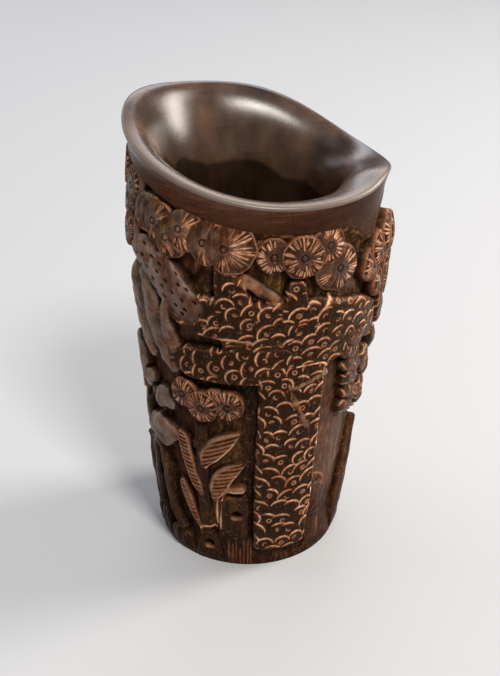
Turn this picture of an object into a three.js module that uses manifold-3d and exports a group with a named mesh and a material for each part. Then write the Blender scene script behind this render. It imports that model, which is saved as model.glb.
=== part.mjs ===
// A libation cup carved from one hollow section of buffalo horn, in the shape of a flaring
// oval beaker with a raised pouring lip. The outside is carved in relief with pine, bamboo
// and rocks below a plain band. Horn is hollow, so the foot is closed by an inset disc of
// horn, let into a rebate from below, and a bead of lacquer seals the joint inside.
//
// Units are millimetres and degrees. +Z is up and the origin is the middle of the foot's
// flat underside. Angles run anticlockwise seen from above: 0 is +X, 90 is +Y. The raised lip
// points to 150 and the broad pine trunk faces 289.
import * as THREE from "three";
import { mergeVertices } from "three/addons/utils/BufferGeometryUtils.js";
import Module from "manifold-3d";

const wasm = await Module();
wasm.setup();

// Height of the rim, how it rises to the pouring lip, and its local wave beside the lip
const RIM_HEIGHT = 133.2;
const RIM_TILT = 9.5;
const RIM_WAVE = 2.3;
const LIP_ANGLE = 150;
const RIM_SWING = 3.2; // up before the swing angle seen from the lip, and down past it
const SWING_ANGLE = 60;
const RIM_LIFT = 1.6; // the most that the hand-cut rim rises above its regular curve

// Outside of the blank before carving, each across the whole cup
const FOOT_WIDTH = 59;
const FOOT_DEPTH = 63;
const SHOULDER_WIDTH = 80.5;
const SHOULDER_DEPTH = 75;
const SHOULDER_HEIGHT = 105;
const NECK_WIDTH = 77.5;
const NECK_DEPTH = 71.5;
const NECK_DRAW = 12; // the least height over which the shoulder is drawn in to the neck
const MOUTH_WIDTH = 81;
const MOUTH_DEPTH = 72;
const BODY_CURVE = 0.77; // the power of the rise from foot to shoulder: lower is fuller
const LEAN = 2.7; // how far the natural horn leans to +X at the rim
const BAND_HEIGHT = 8.5; // the plain band under the rim
const BAND_DIP = 8; // how much further down it runs on the right
const DIP_ANGLE = 331;
const DIP_REACH_ANGLE = 12;
const EDGE_ROUND = 1.2; // radius of the rim's outer edge

// Inside of the cup
const THROAT_WIDTH = 50;
const THROAT_DEPTH = 45;
const BORE_DIAMETER = 43; // at the foot, where the bore is round
const BORE_CURVE = 0.62;
const BRIM_DROP = 22; // from the rim to where the brim meets the bore
const BRIM_DROP_CHANGE = 9; // deeper by this at the lip, shallower opposite
const BRIM_SQUARENESS = 2.1; // the power of the brim's curve
const SQUARENESS_CHANGE = 0.4; // lower by this at the lip, higher opposite

// Base disc, its joint and its seal
const FIT_GAP = 0.3;
const DISC_THICKNESS = 8;
const REBATE_DIAMETER = 49;
const REBATE_DEPTH = 4;
const DISC_CHAMFER = 0.5;
const BEAD_WIDTH = 1.8;
const BEAD_HEIGHT = 1.5;

// Relief: its depth from the blank's surface to the carved ground
const RELIEF_DEPTH = 3.4;
const FOOT_RELIEF_DEPTH = 1.3;
const FOOT_FADE = 12; // height over which the relief grows to its full depth
const KEY_DEPTH = 1.6; // how far a relief form is rooted in the wall
const TRUNK_ANGLE = 289.7;
const TRUNK_WIDTH = 22;
const BOUGH_WIDTH = 15;
const TWIG_WIDTH = 3;
const BURL_WIDTH = 9;
const RIDGE_WIDTH = 3;
const KNOT_WIDTH = 6.4;
const KNOT_PROUD = 2.2; // how far the proudest knot stands above the blank
const STALK_WIDTH = 5;
const STALK_JOINT_HEIGHT = 1.8;
const STALK_JOINT_PROUD = 0.7;
const LEAF_WIDTH = 6.6;
const LEAF_LENGTH = 20;
const ROCK_WIDTH = 13;
const ROCK_HOLE_DIAMETER = 2.8;
const ROCK_HOLE_DEPTH = 1.8;
const NEEDLE_DIAMETER = 10.4;
const NEEDLE_BEVEL = 0.8;
const NEEDLE_CROWN = 0.5; // how far a needle disc's middle stands above its edge
const NEEDLE_STEP = 0.34; // how far each disc of a group stands over its neighbour

// Facets
const WALL_SEGMENTS = 48;
const NEEDLE_SEGMENTS = 8;
const BOUGH_SECTIONS = 2; // sections of a bough for each station of its line
const ROUND_SEGMENTS = 48;
const OVERRUN = 2; // cutters run past what they cut by this

const { degToRad, lerp, smoothstep, clamp, euclideanModulo } = THREE.MathUtils;

// The form of the cup

// Where the rim lifts: [angle, share of the lift, degrees to each side]
const RIM_LIFT_SHARES = [[345, 1, 16], [40, 0.75, 28], [232, 0.625, 34], [170, 0.5, 22]];

// 1 at an angle, falling to nothing some degrees to either side
function bumpAt(angle, middle, reach) {
  const away = euclideanModulo(angle - middle + 180, 360) - 180;
  return Math.exp(-((away / reach) ** 2));
}

function rimHeight(angle) {
  const turn = degToRad(angle - LIP_ANGLE);
  const beside = degToRad(angle - SWING_ANGLE);
  const swing = Math.sin(3 * beside) * ((1 + Math.cos(beside)) / 2) ** 3;
  const wave = RIM_WAVE * Math.cos(2 * turn) + RIM_SWING * swing;
  const lifts = RIM_LIFT_SHARES.map(([at, share, reach]) => share * bumpAt(angle, at, reach));
  const lift = RIM_LIFT * lifts.reduce((sum, each) => sum + each);
  return RIM_HEIGHT + RIM_TILT * Math.cos(turn) + wave + lift;
}

function bandHeight(angle) {
  const dip = BAND_DIP * bumpAt(angle, DIP_ANGLE, DIP_REACH_ANGLE);
  return rimHeight(angle) - BAND_HEIGHT - dip;
}

const CARVED_HEIGHT = bandHeight(TRUNK_ANGLE);

// Half-sizes along X and Y
const halves = (width, depth) => new THREE.Vector2(width, depth).divideScalar(2);
const FOOT = halves(FOOT_WIDTH, FOOT_DEPTH);
const SHOULDER = halves(SHOULDER_WIDTH, SHOULDER_DEPTH);
const NECK = halves(NECK_WIDTH, NECK_DEPTH);
const MOUTH = halves(MOUTH_WIDTH, MOUTH_DEPTH);
const THROAT = halves(THROAT_WIDTH, THROAT_DEPTH);
const BORE = halves(BORE_DIAMETER, BORE_DIAMETER);

// The blank below the band: full from the foot to the shoulder, then drawn in to the neck
function blankHalves(angle, height) {
  const rise = clamp(height / SHOULDER_HEIGHT, 0, 1) ** BODY_CURVE;
  const top = bandHeight(angle);
  const drawnIn = smoothstep(height, Math.min(SHOULDER_HEIGHT, top - NECK_DRAW), top);
  return FOOT.clone().lerp(SHOULDER, rise).lerp(NECK, drawnIn);
}

const reliefDepth = (height) =>
  lerp(FOOT_RELIEF_DEPTH, RELIEF_DEPTH, smoothstep(height, 0, FOOT_FADE));

// A point of an oval ring with these half-sizes, at an angle and height
function ringPoint(angle, half, height) {
  const lean = (LEAN * height) / RIM_HEIGHT;
  return new THREE.Vector3(
    lean + half.x * Math.cos(degToRad(angle)),
    half.y * Math.sin(degToRad(angle)),
    height,
  );
}

// A point on the carved wall. A rise of 0 is the ground and 1 the blank's own surface.
function wallPoint(angle, height, rise, out = 0) {
  const cut = reliefDepth(height) * (1 - rise);
  return ringPoint(angle, blankHalves(angle, height).addScalar(out - cut), height);
}

function outwardAt(angle, height) {
  const half = blankHalves(angle, height);
  return new THREE.Vector3(
    Math.cos(degToRad(angle)) / half.x,
    Math.sin(degToRad(angle)) / half.y,
    0,
  ).normalize();
}

// Length round the wall that one degree spans
function lengthPerDegree(angle, height) {
  const half = blankHalves(angle, height);
  const along = half.x * Math.sin(degToRad(angle));
  const across = half.y * Math.cos(degToRad(angle));
  return degToRad(1) * Math.hypot(along, across);
}

// Solids

function geometryOf(points, triangles) {
  const geometry = new THREE.BufferGeometry().setFromPoints(points);
  geometry.setIndex(triangles);
  return geometry;
}

function solidOf(geometry) {
  const bare = geometry.clone();
  bare.deleteAttribute("normal");
  bare.deleteAttribute("uv");
  const merged = mergeVertices(bare);
  return new wasm.Manifold(
    new wasm.Mesh({
      numProp: 3,
      vertProperties: merged.attributes.position.array,
      triVerts: new Uint32Array(merged.index.array),
    }),
  );
}

function geometryFrom(solid) {
  const mesh = solid.getMesh();
  const geometry = new THREE.BufferGeometry();
  geometry.setAttribute("position", new THREE.BufferAttribute(mesh.vertProperties, mesh.numProp));
  geometry.setIndex(new THREE.BufferAttribute(mesh.triVerts, 1));
  return geometry;
}

// Adds the two triangles of each facet between neighbouring rings of a loft
function joinRings(triangles, ringStart, nextStart, count) {
  for (let i = 0; i < count; i++) {
    const j = (i + 1) % count;
    triangles.push(ringStart + i, ringStart + j, nextStart + j);
    triangles.push(ringStart + i, nextStart + j, nextStart + i);
  }
}

// A loft of rings round the cup, the last joined to the first
function hoop(rings) {
  const triangles = [];
  rings.forEach((ring, i) => {
    const next = (i + 1) % rings.length;
    joinRings(triangles, i * WALL_SEGMENTS, next * WALL_SEGMENTS, WALL_SEGMENTS);
  });
  return solidOf(geometryOf(rings.flat(), triangles));
}

// A loft of sections along a line, closed by a cap at each end
function loft(sections) {
  const count = sections[0].length;
  const last = (sections.length - 1) * count;
  const triangles = [];
  for (let start = 0; start < last; start += count)
    joinRings(triangles, start, start + count, count);
  for (let i = 1; i + 1 < count; i++) {
    triangles.push(0, i + 1, i);
    triangles.push(last, last + i, last + i + 1);
  }
  return solidOf(geometryOf(sections.flat(), triangles));
}

function turned(geometry, axis, position) {
  const turn = new THREE.Quaternion().setFromUnitVectors(new THREE.Vector3(0, 1, 0), axis);
  geometry.applyQuaternion(turn);
  geometry.translate(position.x, position.y, position.z);
  return solidOf(geometry);
}

const ringOf = (pointAt) =>
  Array.from({ length: WALL_SEGMENTS }, (_, i) => pointAt((i * 360) / WALL_SEGMENTS));

// The wall before its relief

const GROUND_RING_SHARES = [0.05, 0.2, 0.5, 0.87, 1];
const BAND_RING_SHARES = [0, 0.5, 1];
const EDGE_RING_ANGLES = [45, 90];
const BRIM_RING_SHARES = [0.3, 0.6, 0.85, 1];
const BORE_RING_SHARES = [0.7, 0.3];

// The plain band flares from the neck to the mouth
function bandPoint(angle, share) {
  const height = lerp(bandHeight(angle), rimHeight(angle) - EDGE_ROUND, share);
  return ringPoint(angle, NECK.clone().lerp(MOUTH, share * share), height);
}

// The rim's outer edge is rounded over
function edgePoint(angle, turn) {
  const inward = EDGE_ROUND * (1 - Math.cos(degToRad(turn)));
  const down = EDGE_ROUND * (1 - Math.sin(degToRad(turn)));
  return ringPoint(angle, MOUTH.clone().subScalar(inward), rimHeight(angle) - down);
}

// The brim is flat and narrow at the front and a deep dished funnel at the lip
function brimPoint(angle, share) {
  const towardLip = Math.cos(degToRad(angle - LIP_ANGLE));
  const drop = BRIM_DROP + BRIM_DROP_CHANGE * towardLip;
  const squareness = BRIM_SQUARENESS - SQUARENESS_CHANGE * towardLip;
  const fall = 1 - (1 - share ** squareness) ** (1 / squareness);
  const half = MOUTH.clone().subScalar(EDGE_ROUND).lerp(THROAT, share);
  return ringPoint(angle, half, rimHeight(angle) - drop * fall);
}

// The bore opens from a round seat for the base disc to the oval throat
function borePoint(angle, share) {
  const half = BORE.clone().lerp(THROAT, share ** BORE_CURVE);
  return ringPoint(angle, half, lerp(DISC_THICKNESS, brimPoint(angle, 1).z, share));
}

// The leaning horn is bored straight up from the foot through the seat
const seatPoint = (angle, height) => ringPoint(angle, BORE, 0).setZ(height);

const plainWall = () =>
  hoop([
    ringOf((angle) => seatPoint(angle, 0)),
    ringOf((angle) => wallPoint(angle, 0, 0)),
    ...GROUND_RING_SHARES.map((share) =>
      ringOf((angle) => wallPoint(angle, bandHeight(angle) * share, 0)),
    ),
    ...BAND_RING_SHARES.map((share) => ringOf((angle) => bandPoint(angle, share))),
    ...EDGE_RING_ANGLES.map((turn) => ringOf((angle) => edgePoint(angle, turn))),
    ...BRIM_RING_SHARES.map((share) => ringOf((angle) => brimPoint(angle, share))),
    ...BORE_RING_SHARES.map((share) => ringOf((angle) => borePoint(angle, share))),
    ringOf((angle) => seatPoint(angle, DISC_THICKNESS)),
  ]);

// Relief forms follow lines on the wall. A line is a row of [angle, height share, width share]
// and a section runs across it as rows of [share of half the width, rise].

const BARK_SECTION_SHARES = [[-1, 0.62], [-0.82, 0.96], [0, 1.04], [0.82, 0.96], [1, 0.62]];
const BURL_SECTION_SHARES = [[-1, 0.3], [-0.6, 0.9], [0.6, 0.9], [1, 0.3]];
const TWIG_SECTION_SHARES = [[-1, 0.2], [-0.4, 0.6], [0.4, 0.6], [1, 0.2]];
const STALK_SECTION_SHARES = [[-1, 0.2], [-0.55, 0.72], [0.55, 0.72], [1, 0.2]];
const LEAF_SECTION_SHARES = [[-1, 0.42], [0, 0.85], [1, 0.42]];
const ROCK_SECTION_SHARES = [[-1, 0.35], [-0.45, 1], [0.25, 0.8], [0.6, 0.95], [1, 0.3]];

// Works out one section of a form whose line passes through a place in a direction
function sectionAt(place, direction, perDegree, section, proud) {
  const pointAt = (share, rise, out) => {
    const offset = (share * place.z) / 2;
    const angle = place.x + (direction.y * offset) / perDegree;
    const height = Math.max(place.y - direction.x * offset, 0);
    return wallPoint(angle, height, rise, out);
  };
  return [
    pointAt(-1, 0, -KEY_DEPTH),
    ...section.map(([share, rise]) => pointAt(share, rise, proud)),
    pointAt(1, 0, -KEY_DEPTH),
  ];
}

// A form lofted along its line, proud of its section's own rise by a length
function reliefForm(line, width, section, { proud = 0, sections = 1 } = {}) {
  const stations = line.map(
    ([angle, share, widthShare]) =>
      new THREE.Vector3(angle, share * CARVED_HEIGHT, widthShare * width),
  );
  const curve = new THREE.CatmullRomCurve3(stations, false, "centripetal");
  const places = curve.getPoints((line.length - 1) * sections);
  return loft(
    places.map((place, i) => {
      const before = places[Math.max(i - 1, 0)];
      const after = places[Math.min(i + 1, places.length - 1)];
      const perDegree = lengthPerDegree(place.x, place.y);
      const direction = new THREE.Vector2((after.x - before.x) * perDegree, after.y - before.y);
      return sectionAt(place, direction.normalize(), perDegree, section, proud);
    }),
  );
}

const TRUNK_LINE_SHARES = [
  [[TRUNK_ANGLE, 0.04, 0.84], [TRUNK_ANGLE, 0.07, 0.92], [TRUNK_ANGLE, 0.3, 0.97],
   [TRUNK_ANGLE, 0.72, 1.05]],
  [[108, 0.02, 1.1], [107, 0.12, 0.98], [106, 0.3, 0.86], [111, 0.48, 0.84], [116, 0.64, 0.95],
   [114, 0.74, 1.1]],
];

const BOUGH_LINE_SHARES = [
  [[268, 0.712, 1.5], [285, 0.712, 1.75], [298, 0.71, 1.75], [311, 0.712, 1.5],
   [321, 0.715, 1.15], [333, 0.7, 0.95], [346, 0.665, 0.8], [353, 0.64, 0.6]],
  [[280, 0.765, 0.95], [262, 0.77, 0.98], [248, 0.775, 0.96], [237, 0.79, 0.9],
   [226, 0.855, 0.95], [216, 0.895, 0.9], [207, 0.905, 0.6]],
  [[280, 0.638, 0.84], [262, 0.636, 0.84], [246, 0.636, 0.82], [231, 0.64, 0.5]],
  [[262, 0.79, 0.8], [259.5, 0.86, 0.65], [256, 0.905, 0.4]],
  [[288, 0.79, 0.6], [288, 0.88, 0.42]],
  [[116, 0.72, 1.1], [98, 0.715, 0.95], [82, 0.73, 0.8], [66, 0.765, 0.75], [50, 0.79, 0.6],
   [42, 0.79, 0.4]],
  [[106, 0.72, 1], [122, 0.75, 1.15], [138, 0.81, 1], [154, 0.885, 0.9], [170, 0.94, 0.6]],
];

// Burls and worn lumps of the old tree on the left, and the ridge that runs down from the lip
const BURL_LINE_SHARES = [
  [[205, 0.86, 0.5], [201, 0.79, 1.15], [203, 0.72, 1.1], [212, 0.63, 0.7]],
  [[211, 0.85, 0.6], [214, 0.77, 1.1], [219, 0.69, 1.05], [229, 0.6, 0.6]],
  [[196, 0.62, 0.6], [200, 0.55, 1], [208, 0.53, 0.6]],
  [[199, 0.36, 0.8], [208, 0.37, 1.2], [216, 0.375, 1.25], [224, 0.385, 0.6]],
  [[214, 0.47, 0.5], [219, 0.487, 0.95], [225, 0.48, 0.5]],
  [[207, 1.07, 0.6], [206, 0.97, 0.45], [208, 0.88, 0.5]],
];

// Thin ridges round the hollows of the rocks
const RIDGE_LINE_SHARES = [
  [[204, 0.32, 1.1], [210, 0.324, 1.1], [214, 0.23, 1], [216, 0.137, 1], [225, 0.08, 0.9]],
  [[199, 0.4, 1.3], [201, 0.256, 1.2], [207, 0.043, 1]],
];

// Knots in the bough on the right and below it: [share of their proudness, line]
const KNOT_LINE_SHARES = [
  [0.1, [[320, 0.635, 0.9], [328, 0.61, 1]]],
  [0.14, [[323, 0.585, 0.9], [331, 0.565, 1]]],
  [0.05, [[325, 0.54, 1], [333, 0.52, 1]]],
  [0.14, [[326, 0.495, 0.9], [334, 0.475, 1]]],
  [0, [[325, 0.45, 0.8], [331, 0.44, 0.8]]],
  [0.4, [[339, 0.58, 1.1], [344, 0.53, 1.2]]],
  [0.32, [[340, 0.49, 1], [344, 0.44, 1]]],
  [1, [[351, 0.72, 1.2], [356, 0.66, 1.1]]],
  [0.64, [[352, 0.61, 0.9], [356, 0.57, 0.8]]],
  [0.45, [[321, 0.672, 0.9], [327, 0.66, 1.1]]],
];

const TWIG_LINE_SHARES = [
  [[258.5, 0.915, 1.2], [271, 0.861, 1.3], [283, 0.815, 0.9]],
  [[44, 0.78, 1.2], [30, 0.81, 1], [24, 0.88, 0.8]],
  [[74, 0.76, 1.2], [76, 0.9, 0.8]],
  [[152, 0.88, 1.2], [148, 1.02, 0.8]],
  [[84, 0.71, 1.2], [72, 0.65, 1], [69, 0.56, 0.8]],
  [[144, 0.76, 1.2], [150, 0.68, 1], [149, 0.58, 0.8]],
];

// Bamboo stalks as [angle, bottom, top, joints]
const STALK_SHARES = [
  [242, 0.05, 0.44, [0.38]],
  [24, 0.12, 0.78, [0.3, 0.5, 0.68]],
  [166, 0.14, 0.84, [0.3, 0.48, 0.66]],
];

function stalk([angle, bottom, top, joints]) {
  const half = STALK_JOINT_HEIGHT / CARVED_HEIGHT / 2;
  const stem = reliefForm([[angle, bottom, 1], [angle, top, 1]], STALK_WIDTH, STALK_SECTION_SHARES);
  const rings = joints.map((joint) =>
    reliefForm(
      [[angle, joint - half, 1], [angle, joint + half, 1]],
      STALK_WIDTH + STALK_JOINT_PROUD,
      STALK_SECTION_SHARES,
      { proud: STALK_JOINT_PROUD },
    ),
  );
  return [stem, ...rings];
}

// Leaves seen from the side follow lines of their own
const SIDE_LEAF_SHARES = [
  [[244, 0.325, 0.5], [251, 0.378, 1.15], [263, 0.43, 0.3]],
  [[250, 0.225, 0.5], [254.5, 0.285, 1.1], [265, 0.33, 0.35]],
  [[229, 0.395, 0.4], [232.5, 0.34, 0.76], [235, 0.29, 0.72], [241, 0.222, 0.3]],
  [[227.5, 0.235, 0.4], [232, 0.18, 0.6], [239.5, 0.098, 0.3]],
  [[256, 0.245, 0.3], [265, 0.25, 0.5]],
];

// Leaves seen flat as [angle, height share, length share, degrees below level]. A leaf is
// pointed and widest a third of the way along.
const LEAF_SHARES = [
  [11, 0.5, 1, 130], [13, 0.39, 0.9, 150], [36, 0.57, 1, 40], [37, 0.45, 1, 28],
  [153, 0.46, 1, 130], [155, 0.36, 0.9, 148], [178, 0.5, 1, 42], [179, 0.39, 1, 28],
  [66, 0.42, 1, 50], [76, 0.34, 0.9, 30],
];
const LEAF_STATION_SHARES = [[-0.5, 0.12], [-0.3, 0.82], [-0.12, 1], [0.2, 0.66], [0.5, 0.1]];

function leaf([angle, share, lengthShare, slope]) {
  const middle = share * CARVED_HEIGHT;
  const perDegree = lengthPerDegree(angle, middle);
  const line = LEAF_STATION_SHARES.map(([along, widthShare]) => {
    const length = along * lengthShare * LEAF_LENGTH;
    const across = (length * Math.cos(degToRad(slope))) / perDegree;
    const down = length * Math.sin(degToRad(slope));
    return [angle + across, (middle - down) / CARVED_HEIGHT, widthShare];
  });
  return reliefForm(line, LEAF_WIDTH, LEAF_SECTION_SHARES);
}

// Rocks stand up from the foot and end in worn points
const ROCK_LINE_SHARES = [
  [[259.5, 0, 0.8], [260.5, 0.17, 0.76], [262, 0.235, 0.4]],
  [[244.5, 0, 0.85], [245, 0.06, 0.74], [245.5, 0.1, 0.35]],
  [[221, 0, 1.1], [221, 0.065, 0.5]],
  [[204, 0, 0.8], [205, 0.06, 0.6], [207, 0.1, 0.3]],
  [[350, 0, 1], [351, 0.12, 0.9], [354, 0.24, 0.7], [357, 0.33, 0.2]],
  [[366, 0, 1], [368, 0.1, 0.9], [372, 0.18, 0.7], [376, 0.24, 0.2]],
  [[384, 0, 1.2], [386, 0.07, 1], [391, 0.14, 0.3]],
  [[50, 0, 1], [52, 0.12, 1], [57, 0.21, 0.8], [63, 0.28, 0.2]],
  [[72, 0, 0.9], [73, 0.08, 0.8], [76, 0.15, 0.2]],
  [[134, 0, 0.9], [136, 0.1, 0.95], [141, 0.2, 0.9], [147, 0.31, 0.2]],
  [[151, 0, 0.9], [153, 0.1, 0.85], [159, 0.19, 0.2]],
  [[174, 0, 1.1], [177, 0.08, 1], [182, 0.16, 0.2]],
];

// Holes worn through the rocks: [angle, height share, diameter share]
const ROCK_HOLE_SHARES = [
  [262.5, 0.171, 1.2], [245.5, 0.06, 1.15], [352, 0.17, 1.3], [54, 0.14, 1.3],
  [139, 0.18, 1.2], [368, 0.1, 1],
];

function rockHole([angle, share, diameterShare]) {
  const height = share * CARVED_HEIGHT;
  const radius = (ROCK_HOLE_DIAMETER * diameterShare) / 2;
  const length = ROCK_HOLE_DEPTH + OVERRUN;
  const outward = outwardAt(angle, height);
  const middle = wallPoint(angle, height, 1, length / 2 - ROCK_HOLE_DEPTH);
  return turned(new THREE.CylinderGeometry(radius, radius, length, 8), outward, middle);
}

// Pine needles stand in groups of overlapping round discs: [angle, height share, diameter share,
// steps proud]
const NEEDLE_GROUP_SHARES = [
  [[277.5, 0.948, 1.05, 0], [307, 0.898, 1.5, 1], [302, 0.962, 1.1, 2.5], [290, 0.943, 1.28, 3.5]],
  [[213, 1.01, 1.2, 0], [218, 1.01, 1.25, 0.2], [223, 1, 1.3, 0.4], [231, 0.97, 1.2, 0.5],
   [238, 1, 1.3, 0.7], [250, 0.978, 1.35, 0.9], [259.5, 0.968, 1.5, 1.1]],
  [[234.5, 0.535, 1, 0.5], [245, 0.508, 1.05, 2], [258, 0.52, 1, 1]],
  [[333, 0.855, 1.1, 1], [341, 0.885, 1.2, 3], [344, 0.79, 1.1, 3], [350, 0.91, 1.3, 5],
   [351, 0.83, 1.2, 6], [357, 0.9, 1.2, 7], [356, 0.77, 1.2, 6.5]],
  [[192, 1.01, 1.15, 0], [200, 1.055, 1.15, 1], [196, 0.93, 1.1, 0]],
  [[60, 0.91, 1.15, 0], [71, 0.94, 1.15, 1], [83, 0.92, 1.25, 2], [94, 0.95, 1.15, 1]],
  [[108, 0.95, 1.2, 0], [121, 0.99, 1.3, 1], [133, 1.05, 1.3, 0], [145, 1.02, 1.35, 2],
   [157, 1.08, 1.3, 1], [170, 1.06, 1.3, 2], [182, 1.08, 1.3, 1]],
  [[18, 0.88, 1.15, 0], [29, 0.91, 1.15, 1], [22, 0.81, 1.1, 2]],
  [[61, 0.56, 1, 0], [70, 0.585, 1.05, 1], [79, 0.55, 1, 2]],
  [[140, 0.57, 1, 0], [149, 0.6, 1.05, 1], [158, 0.56, 1, 2]],
];

// A low crowned disc on the wall, rooted below the ground
function needleDisc([angle, share, diameterShare, steps]) {
  const height = share * CARVED_HEIGHT;
  const radius = (NEEDLE_DIAMETER * diameterShare) / 2;
  const top = reliefDepth(height) + steps * NEEDLE_STEP;
  const profile = [
    new THREE.Vector2(0, -KEY_DEPTH),
    new THREE.Vector2(radius, -KEY_DEPTH),
    new THREE.Vector2(radius, top - NEEDLE_BEVEL),
    new THREE.Vector2(radius - NEEDLE_BEVEL, top),
    new THREE.Vector2(0, top + NEEDLE_CROWN),
  ];
  return turned(
    new THREE.LatheGeometry(profile, NEEDLE_SEGMENTS),
    outwardAt(angle, height),
    wallPoint(angle, height, 0),
  );
}

const UP = new THREE.Vector3(0, 0, 1);

function rebate() {
  const radius = REBATE_DIAMETER / 2;
  const length = REBATE_DEPTH + OVERRUN;
  const middle = new THREE.Vector3(0, 0, REBATE_DEPTH - length / 2);
  const cylinder = new THREE.CylinderGeometry(radius, radius, length, ROUND_SEGMENTS);
  return turned(cylinder, UP, middle);
}

function carvedWall() {
  const trunk = (line) => reliefForm(line, TRUNK_WIDTH, BARK_SECTION_SHARES);
  const bough = (line) =>
    reliefForm(line, BOUGH_WIDTH, BARK_SECTION_SHARES, { sections: BOUGH_SECTIONS });
  const knot = ([share, line]) =>
    reliefForm(line, KNOT_WIDTH, BURL_SECTION_SHARES, { proud: share * KNOT_PROUD });
  const forms = [
    plainWall(),
    ...TRUNK_LINE_SHARES.map(trunk),
    ...BOUGH_LINE_SHARES.map(bough),
    ...BURL_LINE_SHARES.map((line) => reliefForm(line, BURL_WIDTH, BURL_SECTION_SHARES)),
    ...RIDGE_LINE_SHARES.map((line) => reliefForm(line, RIDGE_WIDTH, TWIG_SECTION_SHARES)),
    ...KNOT_LINE_SHARES.map(knot),
    ...TWIG_LINE_SHARES.map((line) => reliefForm(line, TWIG_WIDTH, TWIG_SECTION_SHARES)),
    ...STALK_SHARES.flatMap(stalk),
    ...SIDE_LEAF_SHARES.map((line) => reliefForm(line, LEAF_WIDTH, LEAF_SECTION_SHARES)),
    ...LEAF_SHARES.map(leaf),
    ...ROCK_LINE_SHARES.map((line) => reliefForm(line, ROCK_WIDTH, ROCK_SECTION_SHARES)),
    ...NEEDLE_GROUP_SHARES.flat().map(needleDisc),
  ];
  return forms
    .reduce((wall, form) => wall.add(form))
    .subtract(ROCK_HOLE_SHARES.map(rockHole).reduce((holes, hole) => holes.add(hole)))
    .subtract(rebate());
}

// The disc's flange fills the rebate, flush with the foot, and its plug fills the bore's seat
function baseDisc() {
  const flange = REBATE_DIAMETER / 2 - FIT_GAP;
  const plug = BORE_DIAMETER / 2 - FIT_GAP;
  const shoulder = REBATE_DEPTH - FIT_GAP;
  const profile = [
    new THREE.Vector2(0, 0),
    new THREE.Vector2(flange - DISC_CHAMFER, 0),
    new THREE.Vector2(flange, DISC_CHAMFER),
    new THREE.Vector2(flange, shoulder),
    new THREE.Vector2(plug, shoulder),
    new THREE.Vector2(plug, DISC_THICKNESS),
    new THREE.Vector2(0, DISC_THICKNESS),
  ];
  return new THREE.LatheGeometry(profile, ROUND_SEGMENTS).rotateX(Math.PI / 2);
}

// A hollow-faced fillet of lacquer that lies on the disc against the wall
function sealBead() {
  const outside = BORE_DIAMETER / 2 - FIT_GAP;
  const inside = outside - BEAD_WIDTH;
  const top = DISC_THICKNESS + BEAD_HEIGHT;
  const face = new THREE.QuadraticBezierCurve(
    new THREE.Vector2(outside, top),
    new THREE.Vector2(lerp(outside, inside, 0.75), lerp(DISC_THICKNESS, top, 0.3)),
    new THREE.Vector2(inside, DISC_THICKNESS),
  );
  const profile = [
    new THREE.Vector2(inside, DISC_THICKNESS),
    new THREE.Vector2(outside, DISC_THICKNESS),
    ...face.getPoints(4),
  ];
  return new THREE.LatheGeometry(profile, ROUND_SEGMENTS).rotateX(Math.PI / 2);
}

const surface = (color, roughness) =>
  new THREE.MeshStandardMaterial({ color, roughness, metalness: 0 });

function named(name, geometry, material) {
  const mesh = new THREE.Mesh(geometry, material);
  mesh.name = name;
  return mesh;
}

const cup = new THREE.Group();
cup.add(named("carved_wall", geometryFrom(carvedWall()), surface(0x33231b, 0.35)));
cup.add(named("base_disc", geometryFrom(solidOf(baseDisc())), surface(0x3d2b20, 0.45)));
cup.add(named("seal_bead", geometryFrom(solidOf(sealBead())), surface(0x1d1410, 0.25)));
export default cup;
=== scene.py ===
# %% [markdown]
# # A carved horn libation cup
#
# The cup is one hollow section of water buffalo horn. Its carver sawed it off, bored it clean,
# flared the mouth, and then cut back the outside to leave a pine tree, bamboo and rocks
# standing in relief. Every scale of bark and every needle is a groove made by one stroke of a
# small gouge. This lesson builds the wall as one dense mesh whose points are pushed in and out
# by the same strokes, because grooves that are real geometry catch the light as carving does.

# %% The frame
from math import radians
import bpy
import numpy as np
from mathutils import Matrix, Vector


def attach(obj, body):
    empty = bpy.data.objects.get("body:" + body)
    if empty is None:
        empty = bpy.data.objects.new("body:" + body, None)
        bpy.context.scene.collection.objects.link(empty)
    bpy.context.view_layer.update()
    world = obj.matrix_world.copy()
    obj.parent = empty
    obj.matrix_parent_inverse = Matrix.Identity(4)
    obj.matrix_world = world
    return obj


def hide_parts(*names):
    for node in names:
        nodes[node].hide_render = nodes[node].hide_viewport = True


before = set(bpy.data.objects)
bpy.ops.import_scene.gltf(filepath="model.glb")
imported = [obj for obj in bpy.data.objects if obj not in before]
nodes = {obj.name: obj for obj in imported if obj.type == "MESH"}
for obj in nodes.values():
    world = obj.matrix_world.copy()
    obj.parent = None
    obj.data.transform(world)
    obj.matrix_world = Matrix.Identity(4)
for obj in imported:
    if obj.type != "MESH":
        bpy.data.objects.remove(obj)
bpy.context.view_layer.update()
MM = 0.001
print("nodes:", sorted(nodes))

# %% [markdown]
# ## The camera
#
# The picture is taken from in front and above, with a lens about three times as long as a
# normal one, so the sides of the cup run nearly parallel. A camera looks along its own -Z.
# Turned 62 degrees about X it looks forward and 28 degrees down.

# %% Camera
CAMERA_RIGHT = 0.5
CAMERA_BACK = 396.6
CAMERA_UP = 277.6
CAMERA_DOWN_ANGLE = 28.0
LENS = 74.3

camera = bpy.data.objects.new("camera", bpy.data.cameras.new("camera"))
camera.location = (CAMERA_RIGHT * MM, -CAMERA_BACK * MM, CAMERA_UP * MM)
camera.rotation_euler = (radians(90 - CAMERA_DOWN_ANGLE), 0, 0)
camera.data.lens = LENS
camera.data.sensor_width = 36
camera.data.clip_start = 0.01
bpy.context.scene.collection.objects.link(camera)
bpy.context.scene.camera = camera
print("camera", [round(v, 3) for v in camera.location])

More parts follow.
